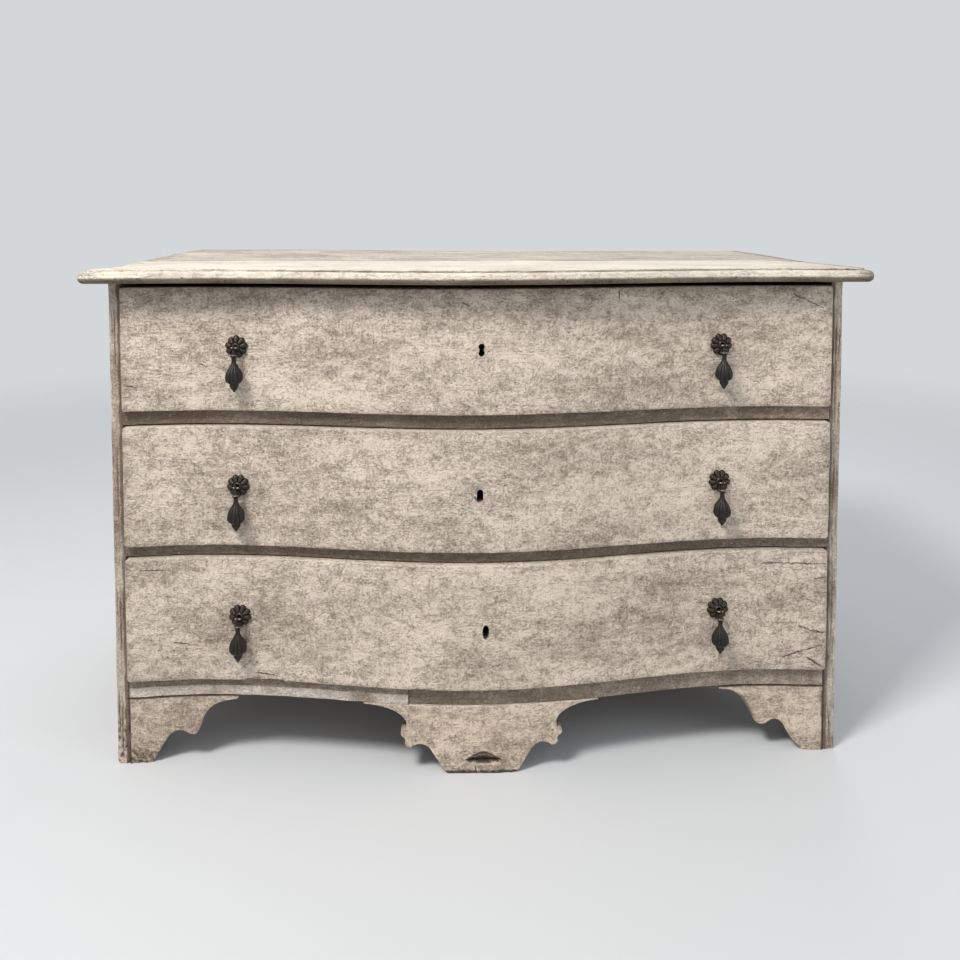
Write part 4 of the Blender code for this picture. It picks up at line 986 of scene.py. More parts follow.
@dataclass(frozen=True)
class LimedOak:
    """Weathered oak under a thin, uneven film of lime."""

    name: str
    grain: Grain = Grain.ACROSS
    film: Triple = (0.80, 0.675, 0.555)
    wood: Triple = (0.34, 0.25, 0.172)
    pore: Triple = (0.125, 0.083, 0.054)
    # Colour of polished arrises and of painted highlights.
    rubbed_and_lit: Triple = (0.78, 0.69, 0.57)
    cover: float = 0.64
    streaks: float = 0.08
    ring: float = 0.0042
    relief: float = 0.0026
    marks: tuple[Mark, ...] = ()
    # Near-black for the darkest painted places: seams, cracks and painted shade in hollows.
    hollow: Triple = (0.030, 0.020, 0.013)
    crack: Triple = (0.050, 0.035, 0.024)
    hole: Triple = (0.024, 0.016, 0.010)

    def limed(self, bench: Bench, grain: Wires, lime: Wires, edge: Wires) -> Socket:
        """The clean surface: bare wood, the film over it, streaks, pores, pits, flecks, and pale arrises that are
        polished wear and painted highlight.

        Args:
            bench: Where it draws.
            grain: What the wood's grain gives.
            lime: What the film gives.
            edge: What the worn edges give.

        Returns:
            Its colour.
        """
        dark_wood = tuple(value * 0.72 for value in self.wood)
        thin_film = tuple(value * factor for value, factor in zip(self.film, (0.88, 0.87, 0.88)))
        wood = bench.tint(bench.window(grain["fibre"], 0.25, 0.75), dark_wood, self.wood)
        wood = bench.coated(wood, ((grain["rings"], 0.25, self.pore),))
        film = bench.tint(bench.window(lime["cloud"], 0.3, 0.7), thin_film, self.film)
        coats = (
            (bench.window(grain["streak"], 0.50, 0.68), self.streaks, dark_wood),
            (grain["pores"], 0.22, self.pore),
            (lime["pit"], 0.34, self.pore),
            (lime["fleck"], 0.70, self.pale),
            (edge["bare"], 0.38, self.wood),
        )
        colour = bench.coated(bench.tint(lime["film"], wood, film), coats)
        # Pale where the arrises are polished and where a painted highlight lies.
        rubbed_and_lit = bench.times(edge["light"], bench.window(lime["grit"], 0.36, 0.58, 0.45, 0.85))
        return bench.tint(rubbed_and_lit, colour, self.rubbed_and_lit)

    @property
    def pale(self) -> Triple:
        """Colour of raised flecks and pale scratches."""
        return tuple(min(value * 1.28, 0.86) for value in self.film)

    def scars(self, bench: Bench, spot: Socket, pale: bool) -> Socket | None:
        """Where the dark or the pale marks are.

        Args:
            bench: Where it draws.
            spot: Where the surface is.
            pale: Which of the two.

        Returns:
            The mask, or None where there are none.
        """
        total = None
        for mark in (mark for mark in self.marks if mark.pale is pale):
            mask = mark.mask(bench, spot)
            total = mask if total is None else bench.calc("MAXIMUM", total, mask)
        return total

    def material(self) -> Material:
        """The material: the limed surface, dirt and painted shade over it where they are painted, marks and flight
        holes.

        Returns:
            The material with all its nodes.
        """
        skin = Skin.named(self.name)
        bench, place = skin.bench, board_place(skin.bench, self.grain)
        # The painted dirt attribute also carries painted shade, and the painted wear attribute also carries
        # painted highlights.
        dirt_and_shade, worn = bench.attribute("dirt_and_shade"), bench.attribute("worn")
        grain = oak_grain(bench, place=place, ring=self.ring)
        cover = bench.less(self.cover, bench.times(dirt_and_shade, 0.35))
        drawn = bench.blend(bench.less(grain["streak"], 0.5), 1.0 + 9.0 * self.streaks, 0.5)
        lime = lime_film(bench, place=place, cover=cover, streak=drawn, pores=grain["pores"])
        edge = edge_wear(bench, place=place, worn=worn)
        holes = worm_holes(bench, place=place, amount=bench.attribute("eaten"))["mask"]
        spot = bench.object_place()
        dark, light = (self.scars(bench, spot, pale) for pale in (False, True))
        colour = self.limed(bench, grain, lime, edge)
        if light is not None:
            colour = bench.coated(colour, ((light, 0.7, self.pale),))
        # Painted dirt darkens the film towards the pore colour, and past about 1.15 towards near-black: dirt, dark
        # seams and cracks, and painted shade in hollows, grooves and under ledges.
        level = bench.blend(bench.less(lime["grit"], 0.5), 0.9, dirt_and_shade)
        deep = bench.window(level, 1.15, 1.5)
        level = bench.blend(bench.less(lime["brush"], 0.5), 0.4, level)
        grime_and_shade = bench.window(bench.blend(lime["cloud"], 0.5, level), 0.35, 1.25)
        coats = [(grime_and_shade, 0.75, self.pore), (deep, 0.85, self.hollow)]
        gaps = holes
        if dark is not None:
            dark = bench.times(dark, bench.window(lime["grit"], 0.36, 0.52, 0.35, 1.0))
            coats.append((dark, 0.9, self.crack))
            gaps = bench.calc("MAXIMUM", dark, holes)
        colour = bench.coated(colour, (*coats, (holes, 0.85, self.hole)))
        rough = bench.less(bench.window(lime["film"], 0.0, 1.0, 0.62, 0.86), bench.times(edge["light"], 0.14))
        parts = (
            (grain["pores"], -0.40), (grain["fibre"], 0.25), (lime["grit"], 1.6), (lime["brush"], 0.5),
            (lime["fleck"], 0.4), (lime["pit"], -0.6), (grain["streak"], 0.6), (gaps, -2.0),
        )
        height = bench.weighed(bench.times(lime["film"], 0.75), parts)
        return skin.wear(colour, rough, height, 0.9, self.relief)


@dataclass(frozen=True)
class BareOak:
    """Unlimed oak inside the case: brown, dry, with saw marks across the grain."""

    name: str
    grain: Grain = Grain.ACROSS
    stretch: float = 0.0
    light: Triple = (0.30, 0.205, 0.125)
    dark: Triple = (0.155, 0.098, 0.056)
    pore: Triple = (0.05, 0.03, 0.018)
    ring: float = 0.0048
    relief: float = 0.0005

    def material(self) -> Material:
        """The material: rings and pores on brown wood, and saw marks in its bump.

        Returns:
            The material with all its nodes.
        """
        skin = Skin.named(self.name)
        bench = skin.bench
        away = tuple(share * self.stretch for share in (1.7, 0.9, 1.1))
        place = bench.aim("ADD", board_place(bench, self.grain), away)
        grain = oak_grain(bench, place=place, ring=self.ring)
        lime = lime_film(bench, place=place, cover=0.3, streak=grain["streak"], pores=grain["pores"])
        tone = bench.window(bench.add(lime["cloud"], bench.times(grain["fibre"], 0.6)), 0.5, 1.15)
        coats = ((grain["rings"], 0.35, self.dark), (grain["pores"], 0.7, self.pore))
        colour = bench.coated(bench.tint(tone, self.dark, self.light), coats)
        rough = bench.window(grain["fibre"], 0.2, 0.8, 0.7, 0.88)
        saw = bench.noise(place, (0.0032, 0.25, 0.25), 2, 0.5)
        height = bench.weighed(bench.times(grain["fibre"], 0.4), ((saw, 0.5), (grain["pores"], -0.5)))
        return skin.wear(colour, rough, height, 0.8, self.relief)


@dataclass(frozen=True)
class OldMetal:
    """Blackened brass or forged iron: a dark skin with browner specks, rougher in the pits."""

    name: str
    skin: Triple
    thin: Triple
    speck: Triple
    # Colour of polish where the wear is strongest, on the pulls also a painted highlight.
    bright: Triple = (0.38, 0.33, 0.26)
    metal: float = 0.38
    rough: float = 0.43
    relief: float = 0.00025

    def material(self) -> Material:
        """The material: a skin that thins in blotches and where it is worn, specks over it, and bright polish
        where the wear is strongest, which on the pulls is also a painted highlight.

        Returns:
            The material with all its nodes.
        """
        skin = Skin.named(self.name)
        bench = skin.bench
        old, worn = patina(bench, place=bench.object_place()), bench.attribute("worn")
        share = bench.add(bench.times(worn, 0.7), old["blotch"])
        colour = bench.tint(bench.window(share, 0.4, 1.0), self.skin, self.thin)
        colour = bench.coated(colour, ((old["speck"], 0.6, self.speck),))
        # Bright where the wear is strongest: polish, and on the pulls a painted highlight on the pin's loop and
        # the drop's collar.
        rubbed_and_lit = bench.window(bench.add(worn, bench.times(old["blotch"], 0.4)), 0.95, 1.3)
        colour = bench.tint(rubbed_and_lit, colour, self.bright)
        skin.shader.inputs["Metallic"].default_value = self.metal
        rough = bench.blend(old["blotch"], 0.3, self.rough - 0.12)
        rough = bench.blend(old["speck"], 0.15, rough)
        height = bench.blend(old["blotch"], 1.2, bench.times(old["pit"], 0.5))
        return skin.wear(colour, rough, height, 0.7, self.relief)


# ------------------------------------------------ the carcase


def show(piece: Piece, finish: Material, body: str, node: str) -> None:
    """Dress a finished piece, let it ride on its body and stand for the solid it replaces.

    Args:
        piece: The finished piece.
        finish: Its material.
        body: The body it rides on.
        node: The solid it replaces.
    """
    piece.data.materials.clear()
    piece.data.materials.append(finish)
    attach(piece, body)
    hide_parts(node)
    log.info("%s: %d faces, rides on %s", piece.name, len(piece.data.polygons), body)


def dress(node: str, finish: Material) -> None:
    """Give a carried-over solid its finish.

    Args:
        node: The solid's name.
        finish: Its material.
    """
    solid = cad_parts[node]
    if not solid.material_slots:
        solid.data.materials.append(finish)
    for slot in solid.material_slots:
        slot.link = "OBJECT"
        slot.material = finish
    log.info("%s: solid kept and dressed", node)


def weather_and_paint_light(piece: Piece, board: float, worn: Array, dirt_and_shade: Sequence[Array], most: float) -> None:
    """Paint a board with its own stretch of timber, its worn edges with painted highlights, and its dirt with
    painted shade.

    Args:
        piece: The board.
        board: Its number, which moves the timber's pattern.
        worn: How worn it is at each vertex, with painted highlights added in.
        dirt_and_shade: Kinds of dirt and painted shade at each vertex, of which the strongest holds.
        most: The strongest that dirt and painted shade may get.
    """
    paint(piece, "board", board)
    paint(piece, "worn", worn)
    paint(piece, "dirt_and_shade", np.clip(np.maximum.reduce(dirt_and_shade), 0, most))


def bell(value: Array, middle: float | Array, width: float) -> Array:
    """One at the middle and fading on both sides, as the bell curve exp(-((v - m) / w)²)."""
    return np.exp(-(((value - middle) / width) ** 2))


@dataclass
class Top:
    """The top: two boards with a rounded nose round the front and ends, and a raised field."""

    thickness: float = 0.022
    side_overhang: float = 0.030
    front_overhang: float = 0.048
    joint_setback: float = 0.210
    nose_height: float = 0.0185
    nose_reach: float = 0.009
    quirk: float = 0.004
    field_arris: float = 0.0016
    corner: float = 0.010
    end_steps: int = 44
    long_steps: int = 120

    def profile(self) -> list[Pair]:
        """Section of the moulded edge.

        Formula: a quarter round on the field's edge, the quirk's floor, and a half ellipse for the nose.

        Returns:
            Inset and depth below the field, from the field to the underside.
        """
        inset, step, half = self.nose_reach + self.quirk, self.thickness - self.nose_height, self.nose_height / 2
        turns = [(math.sin(turn), math.cos(turn)) for turn in np.linspace(0, np.pi / 2, 5)]
        edge = [(inset + self.field_arris * (1 - sin), self.field_arris * (1 - cos)) for sin, cos in turns]
        quirk = [(inset, step), (inset - 0.0005, step + 0.0010)]
        quirk += [(self.nose_reach + 0.0016, step + 0.0011), (self.nose_reach + 0.0008, step + 0.0004)]
        turns = [(math.sin(turn), math.cos(turn)) for turn in np.radians(np.linspace(80, -90, 18))]
        nose = [(self.nose_reach * (1 - cos), step + half * (1 - sin)) for sin, cos in turns]
        return [*edge, *quirk, *nose]

    def front_loop(self, inset: float, back_y: float) -> Array:
        """Plan of the front board: ends, rounded corners, the serpentine and the straight joint.

        Args:
            inset: How far it is drawn in.
            back_y: The joint's edge.

        Returns:
            The loop, counter-clockwise.
        """
        half = FRONT.half_case + self.side_overhang - inset
        corner = max(self.corner - inset, 0.0004)
        turn_y = FRONT.front_y - self.front_overhang + inset + corner
        down, count = np.linspace(back_y, turn_y, self.end_steps), self.long_steps
        left = np.stack((np.full(self.end_steps, -half), down), axis=1)
        x = np.linspace(-half + corner, half - corner, 262)[1:-1]
        front = np.stack((x, FRONT.face(x, self.front_overhang) + inset), axis=1)
        turn_in = arc((-half + corner, turn_y), corner, 180, 270, 7)[1:]
        turn_out = arc((half - corner, turn_y), corner, 270, 360, 7)[:-1]
        right = np.stack((np.full(self.end_steps, half), np.linspace(turn_y, back_y, self.end_steps)), axis=1)
        back = np.stack((np.linspace(half, -half, count + 2)[1:-1], np.full(count, back_y)), axis=1)
        return np.vstack((left, turn_in, front, turn_out, right, back))

    def back_loop(self, inset: float, front_y: float) -> Array:
        """Plan of the back board: moulded ends, plain long edges.

        Args:
            inset: How far its ends are drawn in.
            front_y: The joint's edge.

        Returns:
            The loop, counter-clockwise.
        """
        half = FRONT.half_case + self.side_overhang - inset
        down = np.linspace(BACK_Y, front_y, 62)
        across = np.linspace(-half, half, self.long_steps + 2)[1:-1]
        left = np.stack((np.full(62, -half), down), axis=1)
        front = np.stack((across, np.full(self.long_steps, front_y)), axis=1)
        right = np.stack((np.full(62, half), np.linspace(front_y, BACK_Y, 62)), axis=1)
        back = np.stack((across[::-1], np.full(self.long_steps, BACK_Y)), axis=1)
        return np.vstack((left, front, right, back))

    def warp(self, points: Array) -> Array:
        """How far the upper face has moved: risen at the back left corner, worn down along both ends.

        Args:
            points: Places in plan.

        Returns:
            The rise at each.
        """
        x, y = points[:, 0], points[:, 1]
        risen = 0.0045 * ease(-0.07, -0.32, x) * ease(-0.06, 0.22, y)
        left = 0.0034 * ease(-0.50, -0.585, x) * bell(y, -0.165, 0.085)
        right = 0.0031 * ease(0.50, 0.585, x) * bell(y, -0.045, 0.155)
        return risen - left - right

    def lift(self, joint_y: float, seed: int, points: Array, depth: Array) -> Array:
        """Places for plan points: hand-worn unevenness that fades out at the joint.

        Args:
            joint_y: Where the joint lies.
            seed: Fixes the unevenness.
            points: Places in plan.
            depth: Depths below the upper face.

        Returns:
            Places in the world.
        """
        spots = np.column_stack((points, TOP_Z - depth))
        free = ease(0.002, 0.02, np.abs(points[:, 1] - joint_y)) * ease(0.001, 0.01, BACK_Y - points[:, 1])
        wear = 0.00035 * ripple(spots, 0.05, seed) + 0.0002 * ripple(spots, 0.014, seed + 1)
        rim = ease(0.0, 0.004, depth)
        spots[:, 1] += wear * free * rim
        spots[:, 0] += 0.00025 * ripple(spots, 0.04, seed + 2) * rim * free
        sag = 0.0004 * ripple(points, 0.3, seed + 3) - 0.0004
        nicks = 0.00025 * ripple(spots, 0.03, seed + 4) * rim * ease(0.02, 0.018, depth)
        spots[:, 2] += sag * ease(0.0002, 0.0, depth) + nicks
        spots[:, 2] += self.warp(points) * np.clip(1 - depth / self.thickness, 0, 1)
        return spots

    def dirt(self, spots: Array, inset: Array, depth: Array) -> list[Array]:
        """Darker on the underside, dirt and painted shade low on the nose, painted shade in the quirk, and dirt at
        the ends.

        Args:
            spots: Places in the world.
            inset: Their distance from the board's rim.
            depth: Their depth below the upper face.

        Returns:
            The four kinds.
        """
        x = spots[:, 0]
        # Dirt and painted shade on the nose's lower half, which faces down.
        nose_shade = ease(0.0106, 0.0164, depth) * (1.15 + 0.30 * ripple(spots, 0.09, 7))
        # Painted shade, a thin dark line, in the quirk.
        quirk = bell(inset, 0.0118, 0.0016) * ease(0.0004, 0.0022, depth) * ease(0.008, 0.006, depth)
        quirk = quirk * (0.35 + 0.65 * ease(-0.45, -0.20, x))
        ends = 0.30 + 0.20 * ripple(spots, 0.03, 8) + 0.4 * ease(0.0, 0.1, x)
        return [ease(0.0195, 0.0215, depth), nose_shade, 1.15 * quirk, ease(0.572, 0.607, np.abs(x)) * ends]

    def build(self, front_finish: Material, back_finish: Material) -> None:
        """Make both boards.

        Args:
            front_finish: The front board's material.
            back_finish: The back board's.
        """
        joint_y = FRONT.front_y + self.joint_setback
        boards = (
            ("front", self.front_loop, joint_y - FIT / 2, 3, front_finish),
            ("back", self.back_loop, joint_y + FIT / 2, 5, back_finish),
        )
        for name, loop, edge_y, number, finish in boards:
            rings = [(loop(inset, edge_y), depth) for inset, depth in self.profile()]
            piece = Slab(f"{name}_board_of_top", rings, partial(self.lift, joint_y, number), 0.012).build()
            if name == "front":
                carve(piece, [bolt_mortise(DRAWERS[0], PLANK_TOP)])
            spots = places_of(piece)
            depth, inset = TOP_Z - spots[:, 2], nearness(spots[:, :2], loop(0.0, edge_y))
            worn = np.exp(-inset / 0.008) * ease(0.013, 0.008, depth)
            weather_and_paint_light(piece, number, worn, self.dirt(spots, inset, depth), 1.3)
            paint(piece, "eaten", 0.56 * ease(0.009, 0.014, depth) * ease(0.0215, 0.0195, depth))
            show(piece, finish, "case", f"top_{name}_board")


@dataclass
class SidePlanks:
    """The two side planks, which run down to the floor as feet with an ogee arch between them."""

    thickness: float = 0.020
    foot_width: float = 0.080
    ogee_run: float = 0.060
    arch: float = 0.110
    rail_depth: float = 0.008
    rail_run: Pair = (0.014, 0.075)
    back_rebate: float = 0.014

    def outline(self) -> Array:
        """Side view: half a cosine wave rises from each foot to the arch.

        Returns:
            The loop, counter-clockwise.
        """
        share = np.linspace(0, 1, 40)
        up = self.arch * (1 - np.cos(np.pi * share)) / 2
        rise = np.stack((self.foot_width + self.ogee_run * share, up), axis=1)
        front = rise + (FRONT.front_y, 0)
        back = rise[::-1] * (-1, 1) + (BACK_Y, 0)
        top = PLANK_TOP - FIT
        corners = [(FRONT.front_y, 0.0), *front, *back, (BACK_Y, 0.0), (BACK_Y, top), (FRONT.front_y, top)]
        return spaced(np.array(corners), 0.0022, 0.002)

    def housings(self, hand: int) -> tuple[list[Shell], ...]:
        """The grooves for rails, runners and bottom, and the rebate for the back.

        Args:
            hand: -1 for the left plank, 1 for the right one.

        Returns:
            Three lists of cutters, which are taken out one list after the other.
        """

        def housing(depth: float, y: Pair, z: Pair) -> Shell:
            """A cutter for one groove."""
            reach = sorted((hand * (INNER_X - PAST), hand * (INNER_X + depth + FIT)))
            return block((reach[0], y[0], z[0]), (reach[1], y[1], z[1]))

        rail_y = (FRONT.front_y + self.rail_run[0] - FIT, FRONT.front_y + self.rail_run[1] + FIT)
        rear_y = (rail_y[1], BACK_Y - self.back_rebate)
        rails = [housing(self.rail_depth, rail_y, (low - FIT, high + FIT)) for low, high in Rails.heights.values()]
        floors = [drawer.floor for drawer in DRAWERS[:2]]
        runners = [housing(0.005, rear_y, (floor - 0.014 - FIT, floor + FIT)) for floor in floors]
        low, high = 0.139 - 0.014 - 0.012 - FIT, 0.139 - 0.014 + FIT
        bottom = housing(0.007, rear_y, (low, high))
        rebate = housing(0.010, (BACK_Y - self.back_rebate - FIT, BACK_Y + PAST), (low - FIT, PLANK_TOP + PAST))
        return rails, [*runners, bottom], [rebate]

    def furrows(self, height: Array, depth: Array, seed: int) -> Array:
        """Two weathered furrows that wander down a plank's front edge.

        Args:
            height: Heights, one a row.
            depth: Depths below the plank's outer face.
            seed: Fixes the plank's furrows.

        Returns:
            1 in their middles, 0 beside them.
        """
        wide = 0.0100 + 0.0024 * ripple(height, 0.21, seed + 10) + 0.0005 * ripple(height, 0.022, seed + 14)
        narrow = 0.0050 + 0.0017 * ripple(height, 0.11, seed + 11) + 0.0004 * ripple(height, 0.017, seed + 15)
        deep = np.clip(0.60 + 0.9 * ripple(height, 0.15, seed + 13), 0, 1)
        faint = np.clip(0.30 + 0.9 * ripple(height, 0.15, seed + 12), 0, 1)
        return np.maximum(deep * bell(depth, wide, 0.0012), faint * bell(depth, narrow, 0.0008))

    def splinters(self, spots: Array, seed: int) -> Array:
        """Unevenness of decayed wood, drawn out along the upright grain."""
        return ripple(spots * (1, 1, 0.35), 0.0070, seed + 6)

    def lift(self, hand: int, seed: int, points: Array, depth: Array) -> Array:
        """Places for side-view points: a worn and furrowed front edge, and a decayed foot on the left.

        Args:
            hand: -1 for the left plank, 1 for the right one.
            seed: Fixes the plank's wear.
            points: Places as (y, z).
            depth: Depths below the plank's outer face.

        Returns:
            Places in the world.
        """
        spots = np.column_stack((hand * (FRONT.half_case - depth), points))
        back, z = points[:, 0] - FRONT.front_y, points[:, 1]
        below = ease(PLANK_TOP - 0.001, PLANK_TOP - 0.02, z)
        uneven = 0.0006 + 0.0006 * ripple(spots, 0.12, seed) + 0.0002 * ripple(spots, 0.015, seed + 3)
        spots[:, 1] += ease(0.02, 0.0, back) * below * uneven
        edge = ease(0.003, 0.0, back) * below
        spots[:, 1] += edge * 0.0014 * self.furrows(points[:, 1:], depth, seed)
        decayed = ease(0.080, 0.020, z) if hand < 0 else 0.35 * ease(0.050, 0.0, z)
        spots[:, 1] += edge * decayed * 0.0017 * (1 + self.splinters(spots, seed))
        chipped = ease(0.006, 0.0, depth) * ease(0.008, 0.0, z) * ease(0.03, 0.0, back)
        spots[:, 2] += 0.0045 * chipped * decayed
        outer = ease(0.004, 0.0, depth) * ease(0.01, 0.05, z)
        spots[:, 0] -= hand * outer * 0.0004 * (1 + ripple(points, 0.18, seed + 5))
        return spots

    def build(self, finish: Material) -> None:
        """Make both planks.

        Args:
            finish: Their material.
        """
        outline = self.outline()
        at_front = ease(0.01, 0.0, outline[:, 0] - FRONT.front_y)
        for side, hand in SIDES:
            seed = 20 + hand
            chips = 0.5 + 0.5 * ripple(np.column_stack((outline, outline[:, :1] * 0)), 0.05, seed)
            near = 0.0008 + at_front * (0.0016 + 0.0013 * chips)
            far = 0.0006 + at_front * (0.0013 + 0.0009 * chips[::-1])
            rings = eased(outline, near, far, self.thickness, flat=16)
            piece = Slab(f"plank_{side}", rings, partial(self.lift, hand, seed), 0.012, 0.012).build()
            for shells in self.housings(hand):
                carve(piece, shells)
            spots = places_of(piece)
            inward, back, z = np.abs(spots[:, 0]), spots[:, 1] - FRONT.front_y, spots[:, 2]
            foot = ease(0.05, 0.0, z)
            if hand < 0:
                foot = ease(0.095, 0.045, z + 0.012 * ripple(spots, 0.03, seed + 4)) * ease(0.08, 0.03, back)
            depth, height = FRONT.half_case - inward, spots[:, 2:]
            # Painted shade and dirt on the inner part of the front edge, beside the drawer fronts.
            beside = ease(0.0125, 0.0155, depth + 0.0012 * ripple(height, 0.04, seed + 9))
            strip = 0.10 + 0.14 * ripple(height, 0.09, seed + 8) + 0.95 * beside
            strip = ease(0.0065, 0.0035, back) * (strip + 0.5 * self.furrows(height, depth, seed))
            within = ease(INNER_X + 0.002, INNER_X + 0.0005, inward) * ease(0.006, 0.02, back)
            pits = foot * (0.12 + 0.90 * self.splinters(spots, seed))
            worn = np.exp(-nearness(spots[:, 1:], outline) / 0.006)
            weather_and_paint_light(piece, 7.0 + hand, worn, (pits, strip, within), 1.4)
            paint(piece, "eaten", foot * (0.7 if hand < 0 else 0.3))
            show(piece, finish, "case", f"side_{side}")


@dataclass
class Rails:
    """The two rails between the drawers and the base rail, serpentine in front and housed at the ends."""

    proud: float = 0.002
    depth: float = 0.075
    tongue: float = 0.008
    tongue_setback: float = 0.014
    joint_x: float = -0.1160
    heights: ClassVar[dict[str, Pair]] = {
        "upper": (0.5520, 0.5740), "lower": (0.34102, 0.35802), "base": (0.110, 0.139),
    }

    def outline(self) -> Array:
        """Plan of a rail: the serpentine in front, and a tongue at each end.

        Returns:
            The loop, counter-clockwise.
        """
        half, tip = INNER_X - FIT, INNER_X + self.tongue
        x = np.sort(np.r_[np.linspace(-half, half, 280), -0.1166, -0.1159, half - 0.0028, half - 0.0020])
        front = np.stack((x, FRONT.face(x, self.proud)), axis=1)
        tongue_y = FRONT.front_y + self.tongue_setback
        back = np.stack((np.linspace(tip, -tip, 60), np.full(60, FRONT.front_y + self.depth)), axis=1)
        right = np.array([(half, tongue_y), (tip, tongue_y + 0.0006)])
        left = np.array([(-tip, tongue_y + 0.0006), (-half, tongue_y)])
        return np.vstack((front, right, back, left))

    def lift(self, name: str, high: float, seed: int, points: Array, depth: Array) -> Array:
        """Places for plan points: an uneven front, torn away on the base rail's right-hand part.

        Args:
            name: Which rail it is.
            high: Its upper face.
            seed: Fixes the unevenness.
            points: Places in plan.
            depth: Depths below the upper face.

        Returns:
            Places in the world.
        """
        spots, x = np.column_stack((points, high - depth)), points[:, 0]
        front = ease(0.03, 0.02, points[:, 1] - FRONT.face(x, self.proud))
        inner = ease(INNER_X, INNER_X - 0.02, np.abs(x))
        spots[:, 1] += front * inner * 0.0004 * (1 + ripple(spots, 0.09, seed + 1))
        if name == "base":
            torn = ease(self.joint_x - 0.0003, self.joint_x, x) * ease(0.19, 0.06, x)
            spots[:, 1] += front * torn * 0.0042
        return spots

    def build(self, rail_finish: Material, base_finish: Material) -> None:
        """Make all three rails.

        Args:
            rail_finish: The material of the rails between the drawers.
            base_finish: The base rail's.
        """
        outline = self.outline()
        is_front = outline[:, 1] < FRONT.front_y + 0.0075
        for index, (name, (low, high)) in enumerate(self.heights.items()):
            seed, base = 40 + 5 * index, name == "base"
            worn = np.clip(0.5 + 0.5 * ripple(outline, 0.06, seed), 0, 1)
            near = np.where(is_front, 0.0007 + 0.0014 * worn, 0.0002)
            rings = eased(outline, near, near * 0.8, high - low, 3, 24 if base else 10)
            piece = Slab(f"shaped_rail_{name}", rings, partial(self.lift, name, high, seed), 0.014, 0.014).build()
            if not base:
                carve(piece, [bolt_mortise(DRAWERS[1 + index], low)])
            spots = places_of(piece)
            x, z = spots[:, 0], spots[:, 2]
            out = spots[:, 1] - FRONT.face(x, self.proud)
            worn = np.exp(-np.minimum(z - low, high - z) / 0.003) * ease(0.02, 0.0, out)
            # Dirt and painted shade from the proud drawer fronts above, more behind the rail's front, and lighter
            # towards the right as painted light.
            dirt_and_shade = 0.52 + 0.12 * ripple(spots, 0.12, seed + 2) + 0.3 * ease(0.0, 0.03, out)
            dirt_and_shade = dirt_and_shade - 0.20 * ease(0.1, 0.5, x)
            crack = np.zeros(len(x))
            if base:
                # Base rail: on its left part a lower band has no dirt and a painted highlight, and the band above
                # it keeps painted shade from the drawer front above.
                at_front, left = ease(0.02, 0.008, out), ease(-0.1155, -0.1165, x)
                strip = ease(0.1264, 0.1252, z + 0.0004 * ripple(spots, 0.03, seed + 3)) * at_front * left
                crack = ease(INNER_X - 0.0030, INNER_X - 0.0022, np.abs(x)) * at_front
                dirt_and_shade = (dirt_and_shade - 0.15 + 0.02 * left) * (1 - strip)
                worn = np.maximum(worn * (1 - at_front), 1.35 * strip)
            weather_and_paint_light(piece, 11.0 + index, worn, (dirt_and_shade, 1.6 * crack), 1.6)
            finish, node = (base_finish, "base_rail") if base else (rail_finish, f"rail_{name}")
            show(piece, finish, "case", node)


